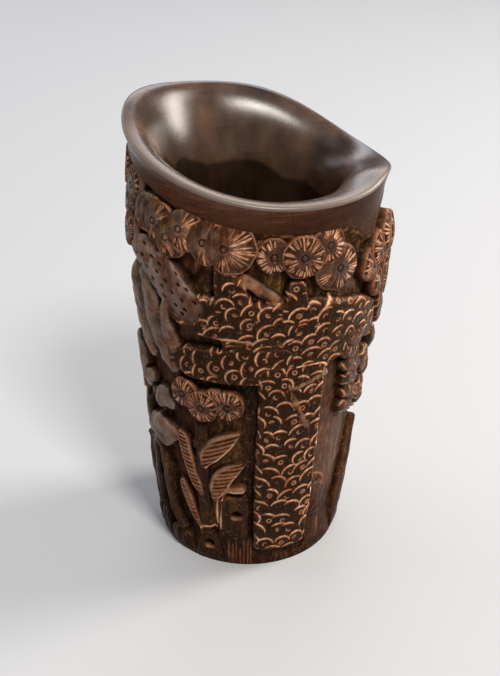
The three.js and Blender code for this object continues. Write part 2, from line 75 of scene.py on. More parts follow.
# %% [markdown]
# ## The form of the blank
#
# A horn tapers and leans, and its section is oval. The foot is 59 by 63 mm and the mouth 81 by
# 72 mm. The rim climbs to a pouring lip on one side and swings down beside it. Its height is a
# cosine of the angle, a smaller one of twice the angle, a local wave, and four low lifts where
# the hand that cut it strayed from that curve. All sizes are in millimetres and angles in
# degrees, anticlockwise from +X as seen from above.

# %% Sizes of the blank
RIM_HEIGHT, RIM_TILT, RIM_WAVE, LIP_ANGLE = 133.2, 9.5, 2.3, 150
RIM_SWING, SWING_ANGLE = 3.2, 60
# Each lift is an angle, a height and the degrees that it reaches to each side.
RIM_LIFTS = [[345, 1.6, 16], [40, 1.2, 28], [232, 1.0, 34], [170, 0.8, 22]]
BAND_DIP, DIP_ANGLE, DIP_REACH = 8, 331, 12
FOOT = np.array([59, 63]) / 2
SHOULDER = np.array([80.5, 75]) / 2
NECK = np.array([77.5, 71.5]) / 2
MOUTH = np.array([81, 72]) / 2
THROAT = np.array([50, 45]) / 2
BORE = np.array([43, 43]) / 2
SHOULDER_HEIGHT = 105
NECK_DRAW = 12
BODY_CURVE = 0.77
LEAN = 2.7
BAND_HEIGHT = 8.5
RELIEF_DEPTH, FOOT_RELIEF_DEPTH, FOOT_FADE = 3.4, 1.3, 12


def smooth(value, low, high):
    """0 at low and 1 at high, with soft ends. High may be the smaller one."""
    share = np.clip((value - low) / (high - low), 0, 1)
    return share * share * (3 - 2 * share)


def mix(low, high, share):
    """What lies this share of the way from low to high."""
    return low + (high - low) * share


def degrees_from(angle, origin):
    """The turn from an origin, from -180 to 180."""
    return (angle - origin + 180) % 360 - 180


def bump_at(angle, middle, reach):
    """1 at an angle, and falling away like a bell."""
    return np.exp(-(degrees_from(angle, middle) / reach) ** 2)


def rim_height(angle):
    turn = np.radians(angle - LIP_ANGLE)
    beside = np.radians(angle - SWING_ANGLE)
    swing = np.sin(3 * beside) * ((1 + np.cos(beside)) / 2) ** 3
    lifts = sum(lift * bump_at(angle, middle, reach) for middle, lift, reach in RIM_LIFTS)
    return (RIM_HEIGHT + RIM_TILT * np.cos(turn) + RIM_WAVE * np.cos(2 * turn)
            + RIM_SWING * swing + lifts)


def band_height(angle):
    return rim_height(angle) - BAND_HEIGHT - BAND_DIP * bump_at(angle, DIP_ANGLE, DIP_REACH)


def relief_depth(height):
    return mix(FOOT_RELIEF_DEPTH, RELIEF_DEPTH, smooth(height, 0, FOOT_FADE))


def blank_halves(angle, height):
    """Half-sizes of the blank along X and Y below the plain band."""
    rise = np.clip(height / SHOULDER_HEIGHT, 0, 1) ** BODY_CURVE
    top = band_height(angle)
    drawn_in = smooth(height, np.minimum(SHOULDER_HEIGHT, top - NECK_DRAW), top)
    return [mix(mix(FOOT[i], SHOULDER[i], rise), NECK[i], drawn_in) for i in (0, 1)]


def ring_points(angle, halves, height):
    """Points of oval rings, in metres."""
    lean = LEAN * height / RIM_HEIGHT
    x = lean + halves[0] * np.cos(np.radians(angle))
    y = halves[1] * np.sin(np.radians(angle))
    return np.stack(np.broadcast_arrays(x, y, height), axis=-1) * MM


print("rim from", round(rim_height(LIP_ANGLE + 180), 1), "to", round(rim_height(LIP_ANGLE), 1))

# %% [markdown]
# ## The carving grid
#
# The carved zone is a net of points, one each quarter of a millimetre, like graph paper
# wrapped round the horn. The carving is drawn on sheets over this net first and becomes a mesh
# at the end. Each sheet keeps one thing for every point:
#
# - `relief`: how high it stands above the deepest ground, in millimetres
# - `ink` and `shadow`: how much of a fresh gouge line crosses it, and how much painted shade
#   it gets
# - `dust` and the grey bloom: how much dust and wax lies there, and how grey it is, partly as
#   a painted sheen
# - `barky` and `leafy`: whether it is bark, and whether it is a leaf or a tuft of needles

# %% The sheets
COLUMNS = 1200
ROWS = 560
around = np.arange(COLUMNS) * 360 / COLUMNS
ANGLE, SHARE = np.meshgrid(around, np.linspace(0, 1, ROWS))
HEIGHT = SHARE * band_height(ANGLE)
DEPTH = relief_depth(HEIGHT)
CARVED_HEIGHT = band_height(289)

half_x, half_y = blank_halves(ANGLE, HEIGHT)
PER_DEGREE = radians(1) * np.hypot(
    half_x * np.sin(np.radians(ANGLE)), half_y * np.cos(np.radians(ANGLE)))

relief, ink, shadow, grey_bloom_and_sheen, barky, leafy = (np.zeros_like(ANGLE) for _ in range(6))
dust = np.ones_like(ANGLE)
print("grid", ANGLE.shape, "pitch", round(float(PER_DEGREE.mean()) * 360 / COLUMNS, 3), "mm")


# %% Noise for a hand's unevenness
def noise(cells_round, cells_up, seed):
    """A smooth random sheet from -1 to 1 that closes on itself round the cup."""
    knots = np.random.default_rng(seed).uniform(-1, 1, (cells_up + 2, cells_round))
    u = ANGLE / 360 * cells_round
    v = SHARE * cells_up
    i, j = np.floor(v).astype(int), np.floor(u).astype(int)
    su, sv = smooth(u - j, 0, 1), smooth(v - i, 0, 1)
    left = mix(knots[i, j % cells_round], knots[i + 1, j % cells_round], sv)
    right = mix(knots[i, (j + 1) % cells_round], knots[i + 1, (j + 1) % cells_round], sv)
    return mix(left, right, su)


def chance(a, b, seed):
    """A number from 0 to 1 that depends only on the numbers a and b."""
    value = np.sin(a * 127.1 + b * 311.7 + seed * 74.7) * 43758.5453
    return value - np.floor(value)


WOBBLE = noise(90, 46, 1)
LUMPS = 0.3 * noise(70, 36, 14) + 0.12 * noise(150, 70, 15)
print("wobble", round(float(WOBBLE.std()), 2))

# %% [markdown]
# ## One stroke of the gouge
#
# A gouge leaves a groove with a flat floor and crisp sides. `groove` gives 1 along the middle
# of a line and falls quickly to 0 at its width. Everything that is engraved uses it.

# %% Groove
LEAST_PER_DEGREE, MOST_PER_DEGREE = 0.5, 0.7


def groove(distance, width):
    """1 in the middle of a line, and half of that at its edge."""
    return 1 / (1 + (2 * distance / width) ** 4)


def patch(angle, low, high, reach):
    """Rows and columns of the sheets round an angle, and between two heights."""
    degrees_out = min(reach / LEAST_PER_DEGREE, 179)
    first = int(np.floor((angle - degrees_out) / 360 * COLUMNS))
    last = int(np.ceil((angle + degrees_out) / 360 * COLUMNS))
    columns = np.arange(first, last + 1) % COLUMNS
    bottom = int(max(low / band_height(LIP_ANGLE), 0) * (ROWS - 1))
    top = int(min(high / band_height(DIP_ANGLE), 1) * (ROWS - 1)) + 1
    return np.ix_(np.arange(bottom, max(top, bottom + 1)), columns)


def at_least(sheet, at, value):
    """Raises part of a sheet to a value where it lies below it."""
    sheet[at] = np.maximum(sheet[at], value)


print("a stroke is half as strong at", round(float(groove(0.25, 0.5)), 2), "of its width")

# %% [markdown]
# ## Forms that follow a line
#
# Trunks, boughs, stalks, leaves and ridges of rock all run along a line on the wall with a
# width that swells and tapers. A line is a short list of stations, each an angle, a share of
# the carved height and a share of the form's width. The nearest point of the smoothed line
# gives every grid point its place along the form and across it.

# %% Lines
CURVE_STEP, SOFT_EDGE = 0.12, 0.4


def smoothed(line, width):
    """Points every millimetre or so along a smooth curve through the stations."""
    stations = np.array(line, float) * [1, CARVED_HEIGHT, width]
    padded = np.vstack([2 * stations[0] - stations[1], stations, 2 * stations[-1] - stations[-2]])
    points = []
    for a, b, c, d in zip(padded, padded[1:], padded[2:], padded[3:]):
        for t in np.arange(0, 1, CURVE_STEP):
            points.append(0.5 * (2 * b + (c - a) * t + (2 * a - 5 * b + 4 * c - d) * t**2
                                 + (3 * b - a - 3 * c + d) * t**3))
    return np.array(points + [stations[-1]])


class Along:
    """Where the points of a patch lie along a line, in millimetres."""

    def __init__(self, line, width):
        points = smoothed(line, width)
        middle = (points[:, 0].min() + points[:, 0].max()) / 2
        span = (points[:, 0].max() - points[:, 0].min()) / 2 * MOST_PER_DEGREE
        margin = points[:, 2].max() + 2
        self.at = patch(middle, points[:, 1].min() - margin, points[:, 1].max() + margin,
                        span + margin)
        angle, height, scale = ANGLE[self.at], HEIGHT[self.at], PER_DEGREE[self.at]
        self.x = degrees_from(angle, middle) * scale
        nearest = np.full(angle.shape, np.inf)
        self.along, self.across, self.half, self.beyond = (np.zeros(angle.shape) for _ in range(4))
        start = 0.0
        for i, (p, q) in enumerate(zip(points, points[1:])):
            edge_x, edge_z = (q[0] - p[0]) * scale, q[1] - p[1]
            from_x, from_z = degrees_from(angle, p[0]) * scale, height - p[1]
            length = np.hypot(edge_x, edge_z)
            t = (from_x * edge_x + from_z * edge_z) / length**2
            held = np.clip(t, 0, 1)
            away = np.hypot(from_x - held * edge_x, from_z - held * edge_z)
            side = np.sign(edge_z * from_x - edge_x * from_z)
            past = np.zeros(angle.shape)
            if i == 0:
                past = np.maximum(past, -t * length)
            if i == len(points) - 2:
                past = np.maximum(past, (t - 1) * length)
            closer = away < nearest
            nearest = np.where(closer, away, nearest)
            self.along = np.where(closer, start + t * length, self.along)
            across = side * np.sqrt(np.maximum(away**2 - past**2, 0))
            self.across = np.where(closer, across, self.across)
            self.half = np.where(closer, mix(p[2], q[2], held) / 2, self.half)
            self.beyond = np.where(closer, past, self.beyond)
            start += float(np.mean(length))

    def edge(self, bluntness, ragged):
        """0 on the line, 1 at the form's edge, and more outside it."""
        half = self.half * (1 + ragged * WOBBLE[self.at])
        end = half * (1 - bluntness)
        power = 2 + 4 * bluntness
        return (np.abs(self.across / half) ** power + (self.beyond / end) ** power) ** (1 / power)


def cover(edge, half):
    """Soft coverage, so that an outline doesn't step from one grid point to the next."""
    return smooth((1 - edge) * half, -SOFT_EDGE, SOFT_EDGE)


def lay(at, top, covered, lines, dusty=0.0, over=False):
    """Puts a form on the sheets, over all or only where it stands higher."""
    if over:
        share = covered
        relief[at] = mix(relief[at], top, covered)
    else:
        share = covered * (top * covered > relief[at])
        relief[at] = np.maximum(relief[at], top * covered)
    ink[at] = mix(ink[at], lines, share)
    dust[at] = mix(dust[at], dusty, share)
    shadow[at] *= 1 - share
    barky[at] *= 1 - share


print("a bough passes through", len(smoothed([[292, 0.755, 1], [203, 0.915, 0.6]], 15)), "points")

# %% [markdown]
# ## Bark
#
# Pine bark on such carvings is a shoal of scales. Each is one curved stroke, thick in the
# middle and pointed at its ends, rounded towards the growing end. Under most of them sits a
# small ring, comma or dot from the corner of the gouge. The strokes stand in staggered rows
# some 5 mm apart and no two are quite alike, so each cell of a lattice rolls its own.

# %% Bark
SCALE_ROW, SCALE_PITCH, SCALE_TOP, SCALE_STRAY = 4.6, 5.3, 2.2, 0.36
FLAT_RADIUS, ROUND_RADIUS, ARC_LENGTH, LEAN_RANGE = 4.8, 2.4, 7.2, 1.1
STROKE, STROKE_END, LINE_DEPTH, SCALE_SWELL = 0.56, 0.1, 0.36, 0.16
RING_RADIUS, RING_LINE, DOT, MARK_STRAY, MARK_BELOW = 0.68, 0.36, 0.5, 1.1, 0.3
CELLS = [(up, over) for up in (1, 0, -1) for over in (-1, 0, 1)]


def bark(along, across, slant, fan, seed):
    """Returns the gouge lines and the surface of the scales, in millimetres."""
    lines = np.zeros(along.shape)
    swell = np.zeros(along.shape)
    row = np.round(along / SCALE_ROW)

    def toward_tip(cell):
        return cell[0] * np.cos(slant) + cell[1] * np.sin(slant)

    for up, over in sorted(CELLS, key=toward_tip, reverse=True):
        r = row + up
        stagger = (r % 2) / 2
        c = np.round(across / SCALE_PITCH - stagger) + over
        middle = (c + stagger + SCALE_STRAY * (chance(r, c, seed) - 0.5)) * SCALE_PITCH
        x = across - middle
        y = along - (r + SCALE_STRAY * (chance(c, r, seed + 1) - 0.5)) * SCALE_ROW
        lean = slant - fan * middle / SCALE_PITCH
        lean = lean + (chance(r, c, seed + 2) - 0.5) * LEAN_RANGE
        turned_x = x * np.cos(lean) - y * np.sin(lean)
        turned_y = x * np.sin(lean) + y * np.cos(lean)
        radius = mix(ROUND_RADIUS, FLAT_RADIUS, chance(c, r, seed + 3) ** 1.3)
        below_top = turned_y + radius - SCALE_TOP
        out = np.hypot(turned_x, below_top)
        turn = np.arctan2(turned_x, below_top)
        span = ARC_LENGTH / 2 / radius * (0.65 + 0.55 * chance(r, c, seed + 4))
        place = turn / span - 0.5 * (chance(c, r, seed + 8) - 0.5)
        taper = np.clip(1 - place**2, 0, 1)
        stroke = groove(out - radius, mix(STROKE_END, STROKE, taper**0.8))
        stroke *= smooth(taper, 0, 0.2) * (0.7 + 0.3 * chance(r, c, seed + 9))
        inside = smooth(out, radius, radius - 0.3) * (np.abs(place) < 1)
        mark_x = turned_x - (chance(c, r, seed + 5) - 0.5) * MARK_STRAY
        mark_y = turned_y + MARK_BELOW
        from_mark = np.hypot(mark_x, mark_y)
        kind = chance(r, c, seed + 6)
        ring = groove(from_mark - RING_RADIUS, RING_LINE) * (kind < 0.8)
        half_ring = smooth(mark_x * np.sin(9 * kind) - mark_y * np.cos(9 * kind), -0.35, 0.3)
        ring *= np.where(kind < 0.35, 1, half_ring)
        dot = groove(from_mark, DOT) * (chance(c, r, seed + 7) < 0.4)
        lines = np.maximum(lines * (1 - inside), np.maximum(stroke, 0.65 * ring))
        lines = np.maximum(lines, 0.5 * dot)
        tilt = np.clip(turned_y / SCALE_TOP, -1, 1)
        swell = np.where(inside > 0.5, SCALE_SWELL * tilt, swell)
    return lines, swell - LINE_DEPTH * lines


# %% Trunks and boughs
TRUNK_WIDTH, BOUGH_WIDTH, EDGE_HIGHLIGHT_WIDTH = 22, 15, 0.8
# Each row gives the slant of the scales, and then the stations.
TRUNKS = [
    (0, [[289.7, 0.08, 0.86], [289.7, 0.2, 0.95], [289.7, 0.43, 1], [289.7, 0.6, 1.03]]),
    (0, [[108, 0.04, 1.1], [107, 0.12, 0.98], [106, 0.3, 0.86], [111, 0.48, 0.84],
         [116, 0.64, 0.95], [114, 0.74, 1.1]]),
]
BOUGHS = [
    (-1.8, [[268, 0.712, 1.5], [285, 0.712, 1.75], [298, 0.71, 1.75], [311, 0.712, 1.5],
            [321, 0.715, 1.15], [333, 0.7, 0.95], [346, 0.665, 0.8], [353, 0.64, 0.6]]),
    (0.8, [[281, 0.765, 0.95], [262, 0.77, 0.98], [248, 0.775, 0.96], [237, 0.785, 0.85],
           [231, 0.8, 0.6]]),
    (-0.4, [[262, 0.79, 0.8], [259.5, 0.85, 0.7], [257, 0.89, 0.55], [255, 0.915, 0.3]]),
    (0, [[288, 0.79, 0.6], [288, 0.86, 0.42]]),
    (0.5, [[281, 0.638, 0.84], [262, 0.636, 0.84], [248, 0.636, 0.82], [238, 0.636, 0.76],
           [231, 0.64, 0.45]]),
    (-0.6, [[116, 0.72, 1.1], [98, 0.715, 0.95], [82, 0.73, 0.8], [66, 0.765, 0.75],
            [50, 0.79, 0.6], [42, 0.79, 0.4]]),
    (0.6, [[106, 0.72, 1], [122, 0.75, 1.15], [138, 0.81, 1], [154, 0.885, 0.9],
           [170, 0.94, 0.6]]),
]


def barked(line, width, slant, seed, bluntness=0.2, fan=0.0, edge_highlight=0.0):
    """Lays a trunk or bough. Where it rests on another its edges aren't rounded off."""
    form = Along(line, width)
    edge = form.edge(bluntness, 0.035)
    lines, carved = bark(form.along, form.across, slant, fan, seed)
    resting = smooth(relief[form.at] / DEPTH[form.at], 0.6, 0.9)
    rounded = 1.04 - (0.1 * edge**2 + 0.35 * smooth(edge, 0.84, 1)) * (1 - resting)
    inside = smooth(edge, 1.0, 0.93)
    # A painted highlight lines one edge of a trunk, the right one on the front trunk.
    edge_highlight_line = groove((edge - 0.94) * form.half, EDGE_HIGHLIGHT_WIDTH) * (form.across > 0) * edge_highlight
    lines = np.maximum(lines * inside, edge_highlight_line)
    top = DEPTH[form.at] * rounded + carved * inside
    covered = cover(edge, form.half)
    lay(form.at, top, covered, lines, over=True)
    at_least(barky, form.at, covered)


for number, (slant, line) in enumerate(BOUGHS):
    barked(line, BOUGH_WIDTH, slant, number + 10)
for number, (slant, line) in enumerate(TRUNKS):
    barked(line, TRUNK_WIDTH, slant, number + 30, bluntness=0.6, fan=0.32, edge_highlight=1)
print("bark stands up to", round(float(relief.max()), 2), "mm above the ground")

# %% [markdown]
# ## The old bough with punched holes
#
# One bough on the left is aged in another way: its surface is left smooth and pricked with a
# round punch in loose rows. Painted shade fills the pricks, and a grey bloom over the bough is
# partly a painted sheen.

# %% Punched bough
PRICK_PITCH, PRICK_RADIUS, PRICK_DEPTH, PRICK_STRAY = 3.6, 0.62, 0.8, 0.5
GREY_BLOOM_AND_SHEEN = 0.4
PUNCHED = [
    [[240, 0.79, 0.7], [231, 0.83, 0.85], [224, 0.868, 0.95], [216, 0.895, 0.9],
     [208, 0.905, 0.7], [203, 0.91, 0.4]],
]


def pricks(along, across):
    """1 inside the holes of a loose staggered lattice."""
    found = np.zeros(along.shape)
    row = np.round(along / PRICK_PITCH)
    for up, over in CELLS:
        r = row + up
        stagger = (r % 2) / 2
        c = np.round(across / PRICK_PITCH - stagger) + over
        x = across - (c + stagger + PRICK_STRAY * (chance(r, c, 3) - 0.5)) * PRICK_PITCH
        y = along - (r + PRICK_STRAY * (chance(c, r, 4) - 0.5)) * PRICK_PITCH
        away = np.hypot(x * 1.3, y * 0.8)
        found = np.maximum(found, smooth(away, PRICK_RADIUS + 0.2, PRICK_RADIUS - 0.25))
    return found


for line in PUNCHED:
    form = Along(line, BOUGH_WIDTH)
    edge = form.edge(0.2, 0.05)
    holes = pricks(form.along, form.across) * smooth(edge, 0.92, 0.8)
    top = DEPTH[form.at] * (1.08 - 0.3 * edge**2) - PRICK_DEPTH * holes
    covered = cover(edge, form.half)
    lay(form.at, top, covered, np.zeros(edge.shape), dusty=0.75, over=True)
    # Painted shade fills the pricks.
    at_least(shadow, form.at, holes)
    # A grey bloom lies over the bough, partly as a painted sheen.
    at_least(grey_bloom_and_sheen, form.at, GREY_BLOOM_AND_SHEEN * covered)
print(len(PUNCHED), "punched bough")

# %% [markdown]
# ## Smooth forms
#
# Twigs, bamboo stalks, burls and the ridges of the rocks are left plain and polished. All have
# a rounded section. Bamboo adds a raised ring at each joint. The knots on the right are scored
# with faint scales, and a dusty twig of vine lies across the trunk.

# %% Twigs, burls, knots, ridges and vines
TWIG_WIDTH, BURL_WIDTH, RIDGE_WIDTH, KNOT_WIDTH, VINE_WIDTH = 3, 9, 3, 6.4, 2.9
SCORE_SHRINK, SCORE_DEPTH = 1.25, 0.5
TWIGS = [
    [[44, 0.78, 1.2], [30, 0.81, 1], [24, 0.88, 0.8]],
    [[74, 0.76, 1.2], [76, 0.9, 0.8]],
    [[152, 0.88, 1.2], [148, 1.02, 0.8]],
    [[84, 0.71, 1.2], [72, 0.65, 1], [69, 0.56, 0.8]],
    [[144, 0.76, 1.2], [150, 0.68, 1], [149, 0.58, 0.8]],
]
BURLS = [
    [[205, 0.85, 0.5], [201, 0.79, 1.15], [203, 0.72, 1.1], [208, 0.665, 0.9], [213, 0.62, 0.6]],
    [[211, 0.84, 0.6], [214, 0.77, 1.1], [218, 0.7, 1.05], [224, 0.64, 0.95], [229, 0.6, 0.5]],
    [[227, 0.79, 0.4], [225, 0.74, 0.6], [227, 0.69, 0.7], [231, 0.66, 0.5]],
    [[196, 0.62, 0.6], [199, 0.56, 1], [203, 0.52, 1], [208, 0.53, 0.6]],
    [[200, 0.36, 0.8], [208, 0.37, 1.2], [216, 0.375, 1.25], [223, 0.385, 0.7]],
    [[215, 0.47, 0.6], [219, 0.487, 0.95], [224, 0.48, 0.6]],
    [[207, 1.14, 0.7], [207, 1.05, 0.55], [206, 0.98, 0.45], [208, 0.9, 0.5]],
]
# Each row gives how far the knot stands proud, and then the stations.
KNOTS = [
    (0.2, [[320, 0.635, 0.9], [328, 0.61, 1]]),
    (0.3, [[323, 0.585, 0.9], [331, 0.565, 1]]),
    (0.1, [[325, 0.54, 1], [333, 0.52, 1]]),
    (0.3, [[326, 0.495, 0.9], [334, 0.475, 1]]),
    (0, [[325, 0.45, 0.8], [331, 0.44, 0.8]]),
    (0.9, [[339, 0.58, 1.1], [344, 0.53, 1.2]]),
    (0.7, [[340, 0.49, 1], [344, 0.44, 1]]),
    (2.2, [[351, 0.72, 1.2], [356, 0.66, 1.1]]),
    (1.4, [[352, 0.61, 0.9], [356, 0.57, 0.8]]),
    (1, [[321, 0.672, 0.9], [327, 0.66, 1.1]]),
]
DUSTY_RIDGE = [[258.5, 0.915, 1.2], [271, 0.861, 1.5], [283, 0.815, 1]]
RIDGES = [
    [[203, 0.307, 1], [206, 0.333, 1.1], [210, 0.324, 1.1], [213, 0.28, 1], [214, 0.213, 1],
     [216, 0.137, 1], [221, 0.094, 1], [226, 0.077, 0.8]],
    [[199, 0.427, 1.2], [200, 0.341, 1.3], [201, 0.256, 1.2], [203, 0.128, 1.2],
     [207, 0.043, 1]],
    [[191, 0.3, 1], [192, 0.2, 1.4], [195, 0.1, 1.6], [197, 0, 1.6]],
]
VINES = [
    [[286.5, 0.585, 0.6], [289.5, 0.543, 0.9], [294, 0.488, 1], [298, 0.445, 1.2]],
    [[289, 0.57, 0.6], [297.5, 0.585, 0.8], [306, 0.598, 1]],
]


def round_form(line, width, rise, proud=0.0, bluntness=0.2, dusty=0.15, scored=0.0, painted_shade=0.0):
    """A plain form with a rounded section, left a little lumpy or scored with faint strokes."""
    form = Along(line, width)
    edge = form.edge(bluntness, 0.1)
    dome = np.sqrt(np.clip(1 - 0.8 * edge**2, 0, 1))
    top = DEPTH[form.at] * rise * (0.25 + 0.75 * dome) + proud + LUMPS[form.at]
    strokes = np.zeros(edge.shape)
    if scored:
        first = line[0][0]
        strokes, _ = bark(SCORE_SHRINK * form.along, SCORE_SHRINK * form.across,
                          first, 0, int(first))
    inked = scored * strokes * smooth(edge, 1, 0.9)
    covered = cover(edge, form.half)
    lay(form.at, top - SCORE_DEPTH * inked, covered, inked, dusty)
    # Painted shade darkens the form by this share, except on its strokes.
    at_least(shadow, form.at, painted_shade * covered * (1 - inked))


for line in TWIGS:
    round_form(line, TWIG_WIDTH, 0.62)
for line in BURLS:
    round_form(line, BURL_WIDTH, 1.05, bluntness=0.1, dusty=0.45, scored=0.25)
    # The burls get the grey bloom too, partly as a painted sheen.
    form = Along(line, BURL_WIDTH)
    at_least(grey_bloom_and_sheen, form.at, GREY_BLOOM_AND_SHEEN * cover(form.edge(0.1, 0.05), form.half))
round_form(DUSTY_RIDGE, RIDGE_WIDTH, 0.7, dusty=1.0)
# The ridges get painted shade.
for line in RIDGES:
    round_form(line, RIDGE_WIDTH, 0.95, painted_shade=0.5)
for line in VINES:
    round_form(line, VINE_WIDTH, 1, 0.4, dusty=1)
# The knots get painted shade.
for proud, line in KNOTS:
    round_form(line, KNOT_WIDTH, 1, proud, bluntness=0.1, dusty=0.2, scored=0.8, painted_shade=0.45)
print(len(TWIGS), "twigs,", len(BURLS), "burls,", len(RIDGES) + 1, "ridges,", len(KNOTS), "knots")

# %% Bamboo stalks
STALK_WIDTH, JOINT_HEIGHT, JOINT_PROUD = 5, 1.8, 0.7
# Each row gives an angle, the bottom and top as shares of the height, and the joints.
STALKS = [
    [242, 0.05, 0.44, [0.38]],
    [24, 0.12, 0.78, [0.3, 0.5, 0.68]],
    [166, 0.14, 0.84, [0.3, 0.48, 0.66]],
]
# The stalks get painted shade.
for angle, bottom, top, joints in STALKS:
    round_form([[angle, bottom, 1], [angle, top, 1]], STALK_WIDTH, 0.7, painted_shade=0.75)
    half_joint = JOINT_HEIGHT / CARVED_HEIGHT / 2
    for joint in joints:
        ends = [[angle, joint - half_joint, 1], [angle, joint + half_joint, 1]]
        round_form(ends, STALK_WIDTH + JOINT_PROUD, 0.7, JOINT_PROUD, bluntness=0.8, painted_shade=0.75)
print(len(STALKS), "stalks")

# %% [markdown]
# ## Bamboo leaves
#
# A leaf is cut as a low blade with ribs side by side across it. The ribs were gouged after the
# blade was scraped, so they show fresh horn while the blade keeps its dust. Leaves seen from
# the side are ribbed straight across, and leaves seen flat are feathered from a midrib.

# %% Leaves
LEAF_WIDTH, LEAF_LENGTH, RIB_PITCH, RIB_GAP, RIB_DEPTH = 6.6, 20, 1.4, 0.891, 0.45
# Each row gives the slope of the ribs, or None if there are none, and then the stations.
SIDE_LEAVES = [
    (24, [[243.5, 0.315, 0.4], [246, 0.345, 1], [251, 0.378, 1.15], [257, 0.405, 0.9],
          [263, 0.43, 0.3]]),
    (16, [[249.5, 0.212, 0.4], [251, 0.245, 0.95], [254.5, 0.285, 1.1], [259.5, 0.31, 0.85],
          [265, 0.33, 0.35]]),
    (-6, [[229, 0.4, 0.3], [230.5, 0.385, 0.72], [232.5, 0.34, 0.76], [235, 0.29, 0.72],
          [238, 0.25, 0.7], [241, 0.222, 0.3]]),
    (-12, [[227.5, 0.235, 0.4], [229, 0.215, 0.58], [232, 0.18, 0.6], [235.5, 0.135, 0.5],
           [239.5, 0.098, 0.25]]),
    (None, [[256, 0.245, 0.3], [260, 0.247, 0.42], [265, 0.25, 0.5]]),
]
# Each row gives an angle, a share of the height, a share of the length, and the slope.
FLAT_LEAVES = [
    [11, 0.5, 1, 130], [13, 0.39, 0.9, 150], [36, 0.57, 1, 40], [37, 0.45, 1, 28],
    [153, 0.46, 1, 130], [155, 0.36, 0.9, 148], [178, 0.5, 1, 42], [179, 0.39, 1, 28],
    [66, 0.42, 1, 50], [76, 0.34, 0.9, 30],
]
LEAF_SHAPE = [[-0.5, 0.12], [-0.3, 0.82], [-0.12, 1], [0.2, 0.66], [0.5, 0.1]]


def blade(form, place, midrib):
    """Lays a leaf with cuts across it, and a midrib line."""
    edge = form.edge(0, 0.05)
    rib = np.round(place / RIB_PITCH)
    cuts = groove(place - rib * RIB_PITCH, RIB_GAP) * smooth(edge, 0.95, 0.75)
    cuts *= (0.6 + 0.4 * chance(rib, 5, 3)) * (1 - midrib)
    cuts *= smooth(form.across / np.maximum(form.half, 0.1), -0.75, -0.35)
    top = DEPTH[form.at] * (0.8 - 0.25 * edge**2) - RIB_DEPTH * cuts
    scraped = 0.45 * smooth(edge, 0.98, 0.6) * mix(0.6, 1, chance(rib, 9, 4))
    fresh = np.maximum(scraped, 0.7 * midrib) * (1 - cuts)
    covered = cover(edge, form.half)
    lay(form.at, top, covered, fresh, dusty=0.35, over=True)
    at_least(leafy, form.at, covered)
    # Painted shade darkens the cuts.
    at_least(shadow, form.at, 0.9 * cuts)


for slope, line in SIDE_LEAVES:
    form = Along(line, LEAF_WIDTH)
    if slope is None:
        blade(form, np.full(form.x.shape, RIB_PITCH / 2), 0.3)
        continue
    up, right = np.cos(radians(slope)), np.sin(radians(slope))
    lower_edge = groove(form.across - 0.82 * form.half, 0.6)
    blade(form, HEIGHT[form.at] * up - form.x * right, lower_edge)

for angle, share, length_share, slope in FLAT_LEAVES:
    scale = PER_DEGREE[int(share * (ROWS - 1)), int(angle / 360 * COLUMNS)]
    line = []
    for along, width_share in LEAF_SHAPE:
        length = along * length_share * LEAF_LENGTH
        across = length * np.cos(radians(slope)) / scale
        down = length * np.sin(radians(slope)) / CARVED_HEIGHT
        line.append([angle + across, share - down, width_share])
    form = Along(line, LEAF_WIDTH)
    blade(form, form.along + 0.6 * np.abs(form.across), groove(form.across, 0.7))
print(len(SIDE_LEAVES) + len(FLAT_LEAVES), "leaves")

# %% [markdown]
# ## Rocks
#
# Garden rocks stand at the foot, worn smooth and pierced by holes. They are forms with a crease
# down one side and a pit for each hole, and painted shade darkens the rocks and their holes. A
# last stroke under each hole and along the top of a rock shows fresh horn, and one cut paints a
# glint on a bough.

# %% Rocks
ROCK_WIDTH, CREASE_DEPTH, HOLE_DIAMETER, HOLE_DEPTH = 13, 0.35, 2.8, 1.8
ROCKS = [
    [[259.5, 0, 0.8], [260, 0.1, 0.8], [261.5, 0.19, 0.74]],
    [[244.5, 0, 0.85], [245, 0.04, 0.82], [245.5, 0.062, 0.66]],
    [[221, 0, 1.1], [221, 0.03, 0.8]],
    [[204, 0, 0.8], [205, 0.06, 0.6], [207, 0.1, 0.3]],
    [[350, 0, 1], [351, 0.12, 0.9], [354, 0.24, 0.7], [357, 0.33, 0.2]],
    [[366, 0, 1], [368, 0.1, 0.9], [372, 0.18, 0.7], [376, 0.24, 0.2]],
    [[384, 0, 1.2], [386, 0.07, 1], [391, 0.14, 0.3]],
    [[50, 0, 1], [52, 0.12, 1], [57, 0.21, 0.8], [63, 0.28, 0.2]],
    [[72, 0, 0.9], [73, 0.08, 0.8], [76, 0.15, 0.2]],
    [[134, 0, 0.9], [136, 0.1, 0.95], [141, 0.2, 0.9], [147, 0.31, 0.2]],
    [[151, 0, 0.9], [153, 0.1, 0.85], [159, 0.19, 0.2]],
    [[174, 0, 1.1], [177, 0.08, 1], [182, 0.16, 0.2]],
]
LOW_ROCK = [[314.5, 0, 0.62], [315, 0.1, 0.64], [315.5, 0.19, 0.66]]
# Each row gives an angle, a share of the height and a share of the diameter.
HOLES = [
    [262.5, 0.171, 1.2], [245.5, 0.06, 1.15], [352, 0.17, 1.3],
    [54, 0.14, 1.3], [139, 0.18, 1.2], [368, 0.1, 1],
]


